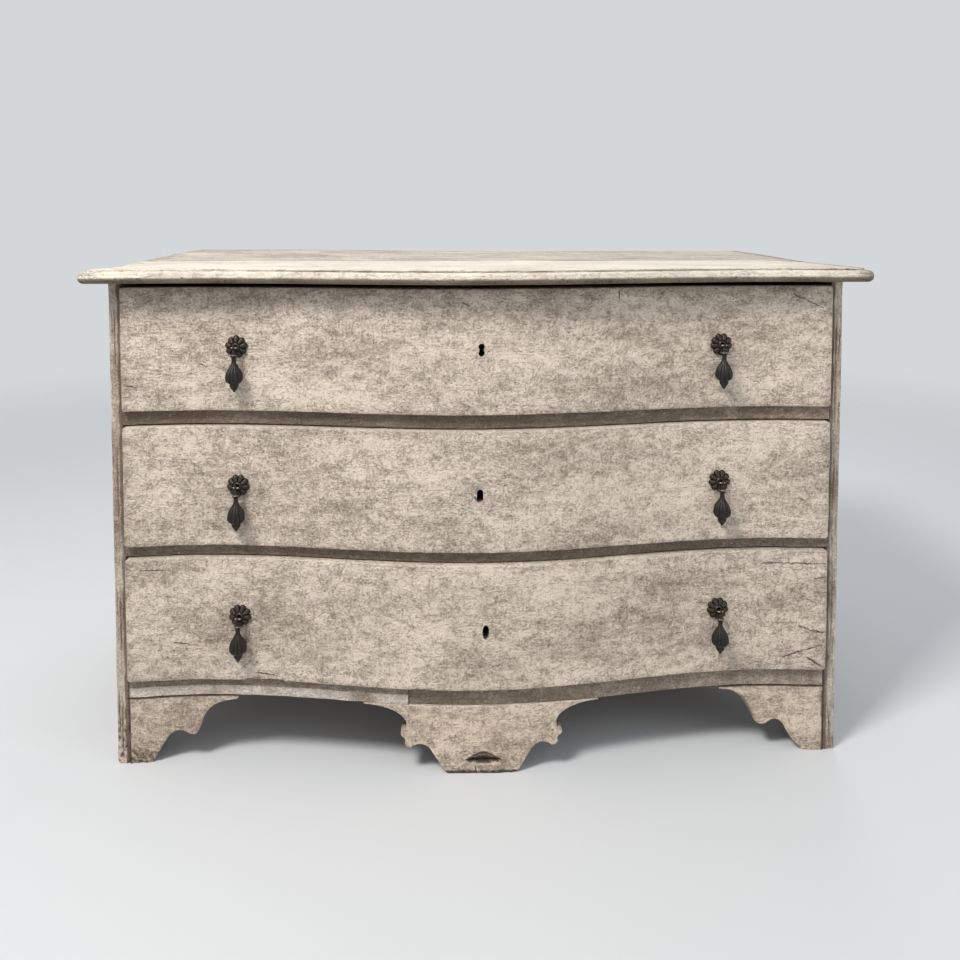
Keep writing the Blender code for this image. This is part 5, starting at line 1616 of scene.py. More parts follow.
@dataclass
class Apron:
    """The shaped pieces below the base rail: two bracket feet and the middle pendant."""

    proud: float = 0.002
    top: float = 0.110 - FIT
    feather: float = 0.002
    bracket_thickness: float = 0.022
    left_curve: tuple[Pair, ...] = (
        (173.6, 105.6), (171.0, 103.2), (165.0, 101.8), (157.5, 100.6), (150.7, 99.4), (144.2, 97.4),
        (137.7, 94.6), (131.2, 90.6), (124.7, 84.6), (118.1, 75.0), (112.6, 61.0), (109.0, 50.5), (105.2, 45.6),
        (100.5, 43.8), (95.6, 44.3), (91.5, 46.3), (88.0, 48.6), (83.5, 50.6), (77.5, 51.6), (71.5, 50.7),
        (66.5, 48.0), (62.0, 43.5), (57.0, 36.5), (52.0, 28.5), (47.2, 20.0), (41.2, 10.5), (36.2, 2.6),
    )
    right_curve: tuple[Pair, ...] = (
        (173.6, 106.2), (170.0, 104.6), (162.0, 103.6), (153.0, 101.6), (146.0, 98.2), (140.5, 94.0),
        (136.0, 89.5), (129.2, 79.4), (122.3, 67.6), (115.6, 55.2), (110.6, 47.2), (106.0, 43.8), (101.0, 42.8),
        (95.6, 43.2), (91.5, 45.2), (88.0, 47.8), (83.5, 50.1), (78.5, 50.8), (73.5, 49.8), (69.0, 46.8),
        (64.5, 42.0), (60.4, 35.5), (56.4, 27.0), (51.0, 19.0), (44.5, 10.8), (38.0, 3.6),
    )
    pendant_thickness: float = 0.024
    pendant_half: float = 0.187
    pitch: float = 0.0010

    def bracket_profile(self, hand: int) -> Array:
        """Front view of a bracket, as distances from the plank's inner face: scoop, lobe, notch and foot."""
        curve = flowing(np.array(self.left_curve if hand < 0 else self.right_curve) / 1000, 4)
        return np.vstack(([(0.1750, self.top)], curve, [(0.035, 0), (FIT, 0), (FIT, self.top)]))

    def pendant_profile(self) -> Array:
        """Front view of the pendant: foot, notches, lobes and scoops on both sides.

        Returns:
            The loop, counter-clockwise.
        """
        edge = self.top - self.feather
        notch = arc((0.097, 0.0265), 0.020, 150, 40, 18)
        lower = arc((0.1155, 0.0465), 0.0062, -110, 45, 16)
        upper = arc((0.1215, 0.0618), 0.0068, -75, 100, 18)
        scoop = arc((self.pendant_half, 0.077), (-0.068, edge - 0.077), 3, 90, 24)
        foot = [(0.048, 0), (0.0545, 0.0012), (0.0590, 0.005)]
        right = np.vstack((foot, notch, lower, upper, scoop, [(self.pendant_half, self.top)]))
        return np.vstack((right, (right * (-1, 1))[::-1]))

    def knot_lids(self, x: Array) -> tuple[Array, Array, Array]:
        """The knot hollow's lower lid, its height, and how far x lies within it: 1 in its middle."""
        spread = np.clip(1 - np.abs((x - 0.0027) / 0.0300) ** 1.5, 0, 1)
        return 0.0206 - 0.0038 * spread, 0.0008 + 0.0180 * spread**1.1, spread

    def knot(self, x: Array, z: Array) -> Array:
        """The hollow of a lost knot near the pendant's foot.

        Args:
            x: Places across.
            z: Heights.

        Returns:
            1 in the slit above its lower lid, where it is deepest, and 0 outside it.
        """
        floor, height, spread = self.knot_lids(x)
        share = (z - floor) / height
        slit = ease(0.0, 0.10, share) * (1 - 0.72 * ease(0.30, 0.62, share))
        return np.clip(spread * 5, 0, 1) * slit * ease(1.03, 0.92, share)

    def lift(self, seed: int, frayed: float, knotted: bool, points: Array, depth: Array) -> Array:
        """Places for front-view points: they follow the serpentine, uneven in front and frayed at the foot.

        Args:
            seed: Fixes the unevenness.
            frayed: How frayed the foot is.
            knotted: Whether the hollow of the knot is in it.
            points: Places as (x, z).
            depth: Depths behind the front.

        Returns:
            Places in the world.
        """
        x, z = points[:, 0], points[:, 1]
        front, fray = ease(0.008, 0.0, depth), frayed * ease(0.03, 0.0, z) * 0.0020
        wave = 0.0005 * (1 + ripple(points, 0.06, seed)) + fray * (1 + ripple(points, 0.0085, seed + 1))
        y = FRONT.face(x, self.proud) + depth + front * wave * ease(self.top, self.top - 0.012, z)
        if knotted:
            torn = 0.0014 * ripple(points * (0.35, 1), 0.005, seed + 2)
            torn = torn + 0.0008 * ripple(points, 0.0045, seed + 3)
            y = y + front * self.knot(x, z) * (0.0085 + torn)
        return np.stack((x, y, z), axis=1)

    def weather_bracket(self, flat: Array, outline: Array, hand: int, seed: int) -> Array:
        """Dark places on a bracket: the crack at the plank, the seam below the base rail and the scoop's edge.

        Args:
            flat: Front-view places of its vertices.
            outline: Its outline.
            hand: -1 for the left bracket, 1 for the right one.
            seed: Fixes their raggedness.

        Returns:
            How dark each place is.
        """
        x, z = np.abs(flat[:, 0]), flat[:, 1]
        crack = ease(INNER_X - 0.0030, INNER_X - 0.0020, x + 0.0006 * ripple(flat, 0.02, seed + 5))
        scoop = ease(0.006, 0.001, nearness(flat, outline)) * ease(0.050, 0.060, z) * ease(0.100, 0.090, z)
        seam = ease(self.top - 0.0030, self.top - 0.0014, z + 0.0007 * ripple(flat, 0.02, seed + 6))
        return np.maximum.reduce((1.5 * crack, 1.6 * seam, scoop * (0.85 if hand > 0 else 0.3)))

    def weather_pendant_and_paint_light(self, flat: Array, out: Array, worn: Array) -> tuple[Array, Array]:
        """The pendant's wear and dark places: the knot's hollow in painted shade with its lip as a painted
        highlight, the lit brow as a painted highlight, and the foot's lower edge in painted shadow.

        Args:
            flat: Front-view places of its vertices.
            out: Their distance behind the front.
            worn: The wear of its edges.

        Returns:
            How worn each place is, with painted highlights, and how dark, with painted shade.
        """
        x, z = flat[:, 0], flat[:, 1]
        floor, height, spread = self.knot_lids(x)
        share = (z - floor) / height
        within = ease(0.0, 0.05, share) * ease(1.03, 0.95, share)
        fibres = ease(0.0, 0.8, ripple(flat * (1, 0.3), 0.0050, 5))
        slit = ease(-0.02, 0.05, share) * ease(0.36, 0.20, share)
        # Painted shade in the knot's hollow: darkest in the slit above the lower lid and along the roof, with
        # darker fibres inside.
        hollow = np.maximum.reduce((within * (0.60 + 0.50 * fibres), 1.7 * slit, 1.6 * bell(share, 0.93, 0.09)))
        hollow = hollow * np.clip(spread * 5, 0, 1) * ease(0.0150, 0.0125, out)
        # Painted highlight on the knot's lower lip.
        lip = bell(z, floor - 0.0026, 0.0018) * ease(0.12, 0.35, spread)
        lip = lip * ease(0.6, 1.0, 1.2 - 16 * np.abs(x - 0.009))
        # Painted highlight along the pendant's upper edge.
        brow = 1.2 * ease(self.top - 0.0030, self.top - 0.0014, z)
        # Painted shadow along the pendant's lower edge, where it stands on the floor.
        foot = 1.6 * ease(0.0060, 0.0026, z + 0.0016 * ripple(flat, 0.012, 6))
        return np.maximum.reduce((worn, 1.7 * lip, brow)), np.maximum(hollow, foot)

    def build(self, finish: Material) -> None:
        """Make both brackets and the pendant.

        Args:
            finish: Their material.
        """
        pendant = spaced(self.pendant_profile(), self.pitch, 0.0018)
        pieces = [("pendant", "apron_pendant", 0, pendant, self.pendant_thickness, 0.3, 18.0)]
        for side, hand in reversed(SIDES):
            profile = spaced(self.bracket_profile(hand), self.pitch, 0.0018)
            outline = np.stack((hand * (INNER_X - profile[:, 0]), profile[:, 1]), axis=1)[::hand]
            row = (f"bracket_{side}", f"foot_bracket_{side}", hand, outline, self.bracket_thickness)
            pieces.insert(0, (*row, 1.0 if hand < 0 else 0.4, 15.0 + hand))
        for name, node, hand, outline, thickness, frayed, number in pieces:
            seed = int(number) * 3
            inset = 0.0006 + 0.0004 * (1 + ripple(outline, 0.025, seed))
            inset = inset * ease(self.top, self.top - 0.012, outline[:, 1]) + 0.0001
            rings = eased(outline, inset, inset * 0.6, thickness, 3)
            piece = Slab(name, rings, partial(self.lift, seed, frayed, hand == 0), 0.0018, 0.012).build()
            spots = places_of(piece)
            flat, z = spots[:, (0, 2)], spots[:, 2]
            out = spots[:, 1] - FRONT.face(spots[:, 0], self.proud)
            worn = np.exp(-nearness(flat, outline) / 0.004) * ease(self.top + 0.001, self.top - 0.006, z)
            foot = ease(0.042, 0.006, z) * frayed * (0.45 + 0.9 * ripple(flat, 0.0065, seed + 7))
            if hand:
                dark = self.weather_bracket(flat, outline, hand, seed)
                eaten = ease(0.045, 0.010, z) * frayed * 0.6
            else:
                worn, dark = self.weather_pendant_and_paint_light(flat, out, worn)
                eaten = 0.55 * ease(0.013, 0.005, z)
            weather_and_paint_light(piece, number, worn, (ease(0.012, 0.018, out), foot, dark), 1.7)
            paint(piece, "eaten", eaten)
            show(piece, finish, "case", node)


# ------------------------------------------------ the drawers


class Keyhole(Enum):
    """The shape of a keyhole."""

    WAISTED = "waisted"
    SLOT = "slot"
    OVAL = "oval"


@dataclass(frozen=True)
class DrawerPlace:
    """Where one drawer lies and what its front shows.

    Attributes:
        floor: Height of the surface it slides on.
        ceiling: Height of the surface above it.
        edge_gap: Gap above its front.
        pull_height: Height of the pulls' middles.
        key: The keyhole's middle as (x, z).
        chips: Bites out of the lower edge, as (middle x, half length, height).
    """

    name: str
    floor: float
    ceiling: float
    edge_gap: float
    pull_height: float
    key: Pair
    keyhole: Keyhole
    marks: tuple[Mark, ...] = ()
    chips: tuple[Triple, ...] = ()

    @property
    def low(self) -> float:
        """The front's lower edge."""
        return self.floor + 0.0005

    @property
    def high(self) -> float:
        """The front's upper edge."""
        return self.ceiling - self.edge_gap

    @property
    def side_top(self) -> float:
        """The drawer sides' upper edge."""
        return self.high - 0.006


def marks(*rows: tuple[float, ...]) -> tuple[Mark, ...]:
    """Cracks and scratches from rows of both ends, half width and whether the mark is pale."""
    return tuple(Mark(row[:2], row[2:4], *row[4:]) for row in rows)


DRAWERS = (
    DrawerPlace(
        "upper", 0.5740, 0.7780, 0.008, 0.67651, (-0.0005, 0.67549), Keyhole.WAISTED,
        marks=marks(
            (0.2153, 0.7642, 0.2154, 0.7501, 0.0011), (0.5009, 0.7563, 0.5484, 0.7341, 0.0008),
            (-0.5579, 0.6159, -0.5414, 0.6124, 0.0011), (-0.0292, 0.7485, -0.0185, 0.7439, 0.0014),
            (-0.4416, 0.6488, -0.4307, 0.6440, 0.0010),
        ),
    ),
    DrawerPlace(
        "middle", 0.35802, 0.5520, 0.002, 0.45598, (-0.003, 0.44900), Keyhole.SLOT,
        marks=marks(
            (0.4786, 0.3953, 0.5393, 0.3879, 0.0012, True), (-0.0248, 0.4823, -0.0017, 0.4680, 0.0022, True),
            (-0.0403, 0.4353, 0.0045, 0.4193, 0.0019, True), (-0.0109, 0.4465, -0.0073, 0.4414, 0.0020),
        ),
    ),
    DrawerPlace(
        "lower", 0.1390, 0.34102, 0.002, 0.24607, (0.006, 0.23253), Keyhole.OVAL,
        marks=marks(
            (0.5202, 0.2136, 0.5396, 0.2056, 0.0013), (0.5396, 0.2056, 0.5622, 0.2026, 0.0015),
            (0.4939, 0.1612, 0.5337, 0.1755, 0.0013), (0.5337, 0.1755, 0.5561, 0.1825, 0.0015),
            (0.5340, 0.1604, 0.5568, 0.1458, 0.0016), (0.4587, 0.3177, 0.5599, 0.3171, 0.0012),
            (0.5427, 0.2921, 0.5619, 0.2956, 0.0013), (-0.4896, 0.2012, -0.4631, 0.1986, 0.0012),
            (-0.5394, 0.3206, -0.4937, 0.3200, 0.0011), (-0.3564, 0.1537, -0.3273, 0.1485, 0.0013),
            (-0.1120, 0.1418, -0.1000, 0.1462, 0.0015, True), (-0.1000, 0.1462, -0.0880, 0.1452, 0.0016, True),
            (-0.1100, 0.1408, -0.0840, 0.1416, 0.0012),
        ),
        chips=((-0.345, 0.033, 0.0026),),
    ),
)


class Lock:
    """The size and place of a lock and its bolt in a drawer's front."""

    lock_y: float = FRONT.front_y - 0.012 - 0.043 + 0.030
    bolt_y: float = lock_y + 0.007
    half_case: Pair = (0.035, 0.030)
    half_bolt: Pair = (0.0125, 0.0035)

    @classmethod
    def slot(cls, x: float, low: float, high: float) -> Shell:
        """A cutter for the bolt's way between two heights."""
        wide, deep = cls.half_bolt
        return block((x - wide, cls.bolt_y - deep, low), (x + wide, cls.bolt_y + deep, high))


def bolt_mortise(drawer: DrawerPlace, underside: float) -> Shell:
    """The mortise above a drawer's lock, which its bolt rises into."""
    return Lock.slot(drawer.key[0], underside - PAST, underside + 0.0095)


@dataclass
class DrawerFront:
    """A solid serpentine front with eased arrises, lapped dovetail sockets, keyhole and bores."""

    place: DrawerPlace
    half: float = 0.563
    proud: float = 0.012
    inner_y: float = FRONT.front_y + 0.020
    arris: float = 0.0022
    corner: float = 0.0045
    tail_length: float = 0.016
    side_thickness: float = 0.014
    key_radius: float = 0.0049
    key_half: float = 0.0102

    def outline(self) -> Array:
        """Front view, with rounded corners and bites out of the lower edge.

        Returns:
            The loop, counter-clockwise.
        """
        low, high, off = self.place.low, self.place.high, self.corner
        middles = ((1, low + off, -90), (1, high - off, 0), (-1, high - off, 90), (-1, low + off, 180))
        turns = [arc((hand * (self.half - off), z), off, start, start + 90, 6) for hand, z, start in middles]
        loop = spaced(np.vstack(turns), 0.0038, 0.004)
        at_low = ease(low + 0.003, low, loop[:, 1])
        for middle, reach, height in self.place.chips:
            bite = ease(reach, reach * 0.86, np.abs(loop[:, 0] - middle)) * (0.8 + 0.3 * ripple(loop, 0.02, 9))
            loop[:, 1] += at_low * bite * height
        return loop

    def keyhole(self) -> Array:
        """Front view of the keyhole: an ellipse, a slot with a round top, or two circles with a waist.

        Returns:
            The loop, counter-clockwise.
        """
        (x, z), radius, half = self.place.key, self.key_radius, self.key_half
        if self.place.keyhole is Keyhole.OVAL:
            return arc((x, z), (0.00545, 0.0119), 0, 360 - 12, 29)
        if self.place.keyhole is Keyhole.SLOT:
            foot = np.array(((0.0048, -0.0098), (0.005, -0.009)))
            top = arc((x, z + half - 0.005), 0.005, 0, 180, 16)
            return np.vstack((foot + (x, z), top, foot[::-1] * (-1, 1) + (x, z)))
        head = arc((x, z + half - radius), radius, -42, 222, 20)
        skirt = arc((x, z - half + radius), radius, 150, 390, 20)
        return np.vstack((skirt, [(x + 0.0033, z)], head, [(x - 0.0033, z)]))

    def sockets(self) -> list[Shell]:
        """Cutters for the six lapped dovetail sockets at the two ends.

        Returns:
            The cutters.
        """
        low, high = self.place.low, self.place.side_top
        pitch = (high - low) / 3
        root, tip = self.inner_y, self.inner_y - self.tail_length
        half = [(root + PAST, 0.20), (root, 0.20), (tip, 0.29), (tip - FIT, 0.29)]
        shells = []
        for index in range(3):
            centre = low + pitch * (index + 0.5)
            below = [(y, centre - pitch * share - FIT) for y, share in half]
            above = [(y, centre + pitch * share + FIT) for y, share in reversed(half)]
            for _, hand in SIDES:
                reach = sorted((hand * (self.half - self.side_thickness - FIT), hand * (self.half + PAST)))
                shells.append(prism(np.array([*below, *above]), Plane.SIDE, *reach))
        return shells

    def pull_bores(self) -> list[Shell]:
        """Cutters for the pulls' bores, square to the face."""
        seats = [PullSeat.on(self.place, hand) for _, hand in SIDES]
        return [bore(seat.out(PAST), seat.out(-(seat.depth + PAST)), 0.0032) for seat in seats]

    def carve_all(self, piece: Piece) -> None:
        """Cut sockets, lock pocket and bores, then the bottom's groove, the bolt's slot and the keyhole.

        Args:
            piece: The front.
        """
        x, z = self.place.key
        wide, deep = Lock.half_case
        pocket_low = (x - wide - FIT, Lock.lock_y - FIT, z - deep - FIT)
        pocket_high = (x + wide + FIT, self.inner_y + PAST, self.place.high - 0.012 + FIT)
        carve(piece, [*self.sockets(), block(pocket_low, pocket_high), *self.pull_bores()])
        floor, reach = self.place.low + 0.010, self.half - self.side_thickness + 0.005 + FIT
        low = (-reach, self.inner_y - 0.005 - FIT, floor - FIT)
        high = (reach, self.inner_y + 0.02, floor + 0.008 + FIT)
        slot = Lock.slot(x, self.place.high - 0.016, self.place.high + PAST)
        face = float(FRONT.face(0.0, self.proud)) - 0.003
        carve(piece, [block(low, high), slot, prism(self.keyhole(), Plane.FRONT, face, Lock.lock_y + PAST)])

    def lift(self, seed: int, points: Array, depth: Array) -> Array:
        """Set front-view points at their depths: serpentine in front with planed unevenness, flat behind.

        Args:
            seed: Fixes the unevenness.
            points: Places as (x, z).
            depth: Depths behind the face.

        Returns:
            Places in the world.
        """
        x, z = points[:, 0], points[:, 1]
        wave = 0.00045 * (1 + ripple(points * (0.5, 1), 0.11, seed))
        wave = wave + 0.00012 * ripple(points * (0.4, 1), 0.02, seed + 1)
        aside, up = (np.abs(x) - PULL_X) / 0.028, (z - self.place.pull_height) / 0.028
        y = FRONT.face(x, self.proud) + wave * (1 - np.exp(-(aside**2 + up**2))) + depth
        return np.stack((x, np.minimum(y, self.inner_y), z), axis=1)

    def build(self, finish: Material, number: int) -> None:
        """Make the front, carve it and paint its wear and dirt, a painted highlight on the upper arris and painted
        shade under the top.

        Args:
            finish: Its material.
            number: Its stretch of timber, which also fixes its unevenness.
        """
        outline, name = self.outline(), self.place.name
        worn = np.clip(0.5 + 0.5 * ripple(outline, 0.07, number), 0, 1)
        worn = worn + 0.6 * np.clip(ripple(outline, 0.018, number + 1), 0, 1)
        near = unfolded(outline, self.arris * (0.45 + 0.75 * worn))
        into, turns = inward(outline), np.linspace(0, np.pi / 2, 6)
        rings = [*rounded(outline, into, near, turns), (outline, 1.0)]
        piece = Slab(f"{name}_front", rings, partial(self.lift, number), 0.0045, 0.012).build()
        self.carve_all(piece)
        spots = places_of(piece)
        flat, z = spots[:, (0, 2)], spots[:, 2]
        out, below = spots[:, 1] - FRONT.face(spots[:, 0], self.proud), self.place.high - z
        shaded = name == "upper"
        worn = np.exp(-nearness(flat, outline) / 0.0045) * ease(0.02, 0.0, out)
        high = self.place.high
        # Painted highlight on the upper arris of the middle and lower fronts, added to the wear.
        lit = (0.0 if shaded else 1.3) * ease(high - 0.0027, high - 0.0009, z) * ease(0.006, 0.002, out)
        lower = ease(0.012, 0.0, z - self.place.low) * 0.22
        # Painted shade under the top's overhang, on the upper front only.
        upper = ease(0.03, 0.0, below) * (0.30 if shaded else 0.0)
        ends = ease(0.02, 0.0, self.half - np.abs(spots[:, 0])) * 0.2
        weather_and_paint_light(piece, number, worn + lit, (ease(0.004, 0.012, out), lower, upper, ends), 1)
        show(piece, finish, f"{name}_drawer", f"{name}_drawer_front")


@dataclass(frozen=True)
class PullSeat:
    """Where a pull sits on the serpentine."""

    middle: Array
    normal: Array
    depth: float
    lean: float

    @classmethod
    def on(cls, place: DrawerPlace, hand: int) -> "PullSeat":
        """The seat on one side of a drawer's front.

        Args:
            place: Which drawer.
            hand: -1 for its left side, 1 for its right side.

        Returns:
            The seat.
        """
        x = hand * PULL_X
        turn = math.atan(-FRONT.slope(x))
        face_y = float(FRONT.face(x, 0.012))
        normal = np.array((math.sin(turn), -math.cos(turn), 0.0))
        depth = (FRONT.front_y + 0.020 - face_y) / math.cos(turn)
        return cls(np.array((x, face_y, place.pull_height)), normal, depth, turn)

    def out(self, distance: float) -> Array:
        """The place at a distance in front of the seat."""
        return self.middle + self.normal * distance

    def set(self, places: Array) -> Array:
        """Turn places from the pull's own frame, -Y outwards, into the chest's.

        Args:
            places: Places in the pull's frame.

        Returns:
            Places in the world.
        """
        cos, sin = math.cos(self.lean), math.sin(self.lean)
        x, y, z = places.T
        return np.stack((cos * x - sin * y, sin * x + cos * y, z), axis=1) + self.middle


@dataclass
class Pull:
    """A drop pull: a rosette of nine petals, a split pin through its boss, and a fluted drop on the pin's loop.

    The rows of dome are radius and height, and those of outline distance below the pin and radius, in
    millimetres. The eye has its ring's radius and its wire's half width in front view and from the side.
    """

    petals: int = 9
    rosette_radius: float = 0.018
    tip_radius: float = 0.0050
    boss_radius: float = 0.0076
    pin_radius: float = 0.0011
    leg_x: float = 0.0016
    eye: Triple = (0.0030, 0.0012, 0.0016)
    reach: float = 0.0150
    flutes: int = 12
    drop_steps: int = 192
    dome: tuple[Pair, ...] = (
        (3.2, 6.6), (3.3, 7.3), (3.7, 7.9), (4.3, 8.1), (4.9, 7.9), (5.5, 7.4), (6.1, 6.7), (6.7, 5.9), (7.3, 5.0),
    )
    outline: tuple[Pair, ...] = (
        (3.4, 1.5), (4.8, 2.5), (6.5, 3.1), (9.0, 3.2), (10.2, 3.9), (10.7, 4.9), (11.4, 5.5), (12.6, 5.6),
        (13.8, 5.1), (15.2, 4.2), (17.2, 3.6), (19.6, 3.4), (21.8, 3.6), (24.2, 4.3), (27.4, 5.9), (30.6, 7.9),
        (34.0, 10.0), (37.6, 11.9), (41.4, 13.2), (45.2, 13.8), (48.4, 13.7), (51.2, 12.8), (53.4, 11.2),
        (54.9, 9.2), (55.7, 7.8), (56.3, 7.1), (57.4, 6.9), (59.2, 7.0), (61.0, 6.5), (63.0, 5.2), (65.0, 3.8),
        (66.8, 2.7), (68.4, 1.7), (69.4, 0.8),
    )

    def rosette(self, petal_up: bool) -> Shell:
        """The rosette, closed round an open bore.

        Formula: with p the angle from the middle of the nearest petal, a petal's tip is a circle of radius a
        about a point c from the centre, so the rim lies at c cos p + sqrt(a² - c² sin² p). Across a petal
        the height is a half ellipse whose width is the petal's own, which leaves creases between them.

        Args:
            petal_up: Whether a petal, and not a gap, points up.

        Returns:
            The closed shell.
        """
        steps, tip, petal = 36 * self.petals, self.tip_radius, 2 * np.pi / self.petals
        centre, boss = self.rosette_radius - tip, self.boss_radius
        turn = np.linspace(0, 2 * np.pi, steps, endpoint=False)
        phase = turn - np.pi / 2 + (0 if petal_up else petal / 2)
        phase = (phase + petal / 2) % petal - petal / 2
        rim = centre * np.cos(phase) + np.sqrt(np.maximum(tip**2 - (centre * np.sin(phase)) ** 2, 1e-7))
        rows = [(np.full(steps, radius / 1000), np.full(steps, height / 1000)) for radius, height in self.dome]
        for share in np.sin(np.linspace(0.08, np.pi / 2, 24)):
            radius = boss + (rim - boss) * share
            along, aside = radius * np.cos(phase), radius * np.sin(phase)
            width = np.minimum(np.maximum(along, 0.001) * math.tan(petal / 2) * 0.97, tip)
            beyond = np.maximum(along - centre, 0) / tip
            swell = np.sqrt(np.clip(1 - (aside / width) ** 2 - beyond**2, 0, 1))
            rows.append((radius, 0.0012 + 0.0029 * (1 - share) ** 1.5 + 0.0034 * swell))
        rows += [(rim, np.full(steps, 0.0005)), (rim - 0.0004, np.zeros(steps))]
        rows.append((np.full(steps, self.dome[0][0] / 1000), np.zeros(steps)))
        cos, sin = np.cos(turn), np.sin(turn)
        places = [np.stack((radius * cos, -height - 0.00045, radius * sin), axis=1) for radius, height in rows]
        return np.vstack(places), ring_faces(len(rows), steps, closed=True)

    def split_pin(self, depth: float, lean: float) -> Shell:
        """The split pin: a wire swept up one leg, round the loop and back down, clinched inside.

        Formula: rings of points at the pin's radius, square to the direction of a smooth curve.

        Args:
            depth: The wood's depth.
            lean: The angle between the pin and the inner face's normal.

        Returns:
            The closed shell.
        """
        front, legs = -self.reach, []
        for hand in (-1, 1):
            x = hand * self.leg_x
            inside = depth + 0.0006 + self.pin_radius + abs(x * math.tan(lean))
            leg = [(x, inside, -hand * 0.011), (x, inside, -hand * 0.006), (x, inside - 0.0006, -hand * 0.0012)]
            leg += [(x, inside - 0.0024, 0), (x, depth * 0.5, 0), (x, -0.0086, 0)]
            leg += [(hand * 0.0042, front + 0.0034, 0), (hand * 0.0040, front + 0.0012, 0)]
            leg.append((hand * 0.0024, front, 0))
            legs.append(leg)
        line = flowing(np.array([*legs[0], *reversed(legs[1])]), 6)
        way = np.gradient(line, axis=0)
        way /= np.linalg.norm(way, axis=1, keepdims=True)
        side = np.cross(way, (0, 0, 1))
        flat = np.linalg.norm(side, axis=1, keepdims=True) < 0.3
        side = np.where(flat, np.array((1.0, 0, 0)), side)
        side -= way * (side * way).sum(axis=1, keepdims=True)
        side /= np.linalg.norm(side, axis=1, keepdims=True)
        turns = np.linspace(0, 2 * np.pi, 14, endpoint=False)[None, :, None]
        ring = np.cos(turns) * side[:, None] + np.sin(turns) * np.cross(way, side)[:, None]
        places = (line[:, None] + self.pin_radius * ring).reshape(-1, 3)
        return places, capped(len(line), 14)

    def drop(self, seed: int) -> list[Shell]:
        """The fluted drop and its eye, hanging from the pin's loop.

        Formula: the radius follows the outline, less a share that grows from the ribs' crests to the
        flutes between them, 1 - |cos(n t / 2)|, and fades out at the neck and the foot. The eye is a torus.

        Args:
            seed: Fixes its dents.

        Returns:
            The two closed shells.
        """
        line, steps = flowing(np.array(self.outline), 4) / 1000, self.drop_steps
        turn = np.linspace(0, 2 * np.pi, steps, endpoint=False)
        grow = ease(0.020, 0.034, line[:, 0]) * ease(0.0560, 0.0515, line[:, 0])
        flute = 1 - np.abs(np.cos(self.flutes * turn / 2))
        radius = line[:, 1:2] * (1 - 0.13 * grow[:, None] * flute[None])
        around = [np.tile(wave(turn), len(line)) * 0.01 for wave in (np.cos, np.sin)]
        dent = 1 + 0.012 * ripple(np.stack((np.repeat(line[:, 0], steps), *around), axis=1), 0.02, seed)
        radius = radius * dent.reshape(len(line), steps)
        down = np.broadcast_to(-line[:, :1], radius.shape)
        places = np.stack((radius * np.cos(turn), radius * np.sin(turn) - self.reach, down), axis=-1)
        lines = [np.linspace(0, 2 * np.pi, count, endpoint=False) for count in (48, 20)]
        around, section = np.meshgrid(*lines, indexing="ij")
        ring, wire, side = self.eye
        away = ring + wire * np.cos(section)
        eye = (side * np.sin(section), away * np.cos(around) - self.reach, away * np.sin(around) - 0.0004)
        eye = np.stack(eye, axis=-1).reshape(-1, 3)
        return [(places.reshape(-1, 3), capped(len(line), steps)), (eye, ring_faces(48, 20, closed=True))]

    def wear(self, name: str, own: Array, out: Array, seed: int) -> Array:
        """How worn a piece is: the petals' crests, the pin's loop, or the drop's collar and bare spots. On the
        pin's loop and the collar the wear turns the metal bright, as polish and as a painted highlight.

        Args:
            name: Which of the three pieces it is.
            own: Places from the pull's middle.
            out: Their distance from the wood.
            seed: Fixes the bare spots.

        Returns:
            The wear at each place.
        """
        if name == "petals":
            return ease(0.0042, 0.0062, out) * 0.45 + ease(0.0038, 0.0046, out) * 0.2
        # The pin's loop, and below it the drop's collar: polish and a painted highlight.
        if name == "split_pin":
            return ease(0.0132, 0.0150, out) * 1.1
        collar = ease(0.0016, 0.0, np.abs(-own[:, 2] - 0.0112))
        return 0.95 * collar + 0.30 * ease(0.4, 1.0, ripple(own, 0.012, seed))

    def build(self, place: DrawerPlace, side: str, hand: int, finish: Material) -> None:
        """Make the three pieces of one pull.

        Args:
            place: The drawer it is on.
            side: Its side's name.
            hand: -1 for the left side, 1 for the right one.
            finish: Its material.
        """
        seat, seed = PullSeat.on(place, hand), 60 + 7 * DRAWERS.index(place) + hand
        parts = (
            ("petals", [self.rosette(place.name == "upper" and hand < 0)], "drawer", "rosette"),
            ("split_pin", [self.split_pin(seat.depth, seat.lean)], "drawer", "cotter"),
            ("pear_drop", self.drop(seed), f"drop_{side}", "drop"),
        )
        for name, shells, body, node in parts:
            places, faces = joined(shells)
            piece = new_piece(f"{place.name}_{name}_{side}", seat.set(places), faces, 60)
            own = places_of(piece) - seat.middle
            paint(piece, "worn", self.wear(name, own, own @ seat.normal, seed))
            show(piece, finish, f"{place.name}_{body}", f"{place.name}_{node}_{side}")


# ------------------------------------------------ studio and assembly


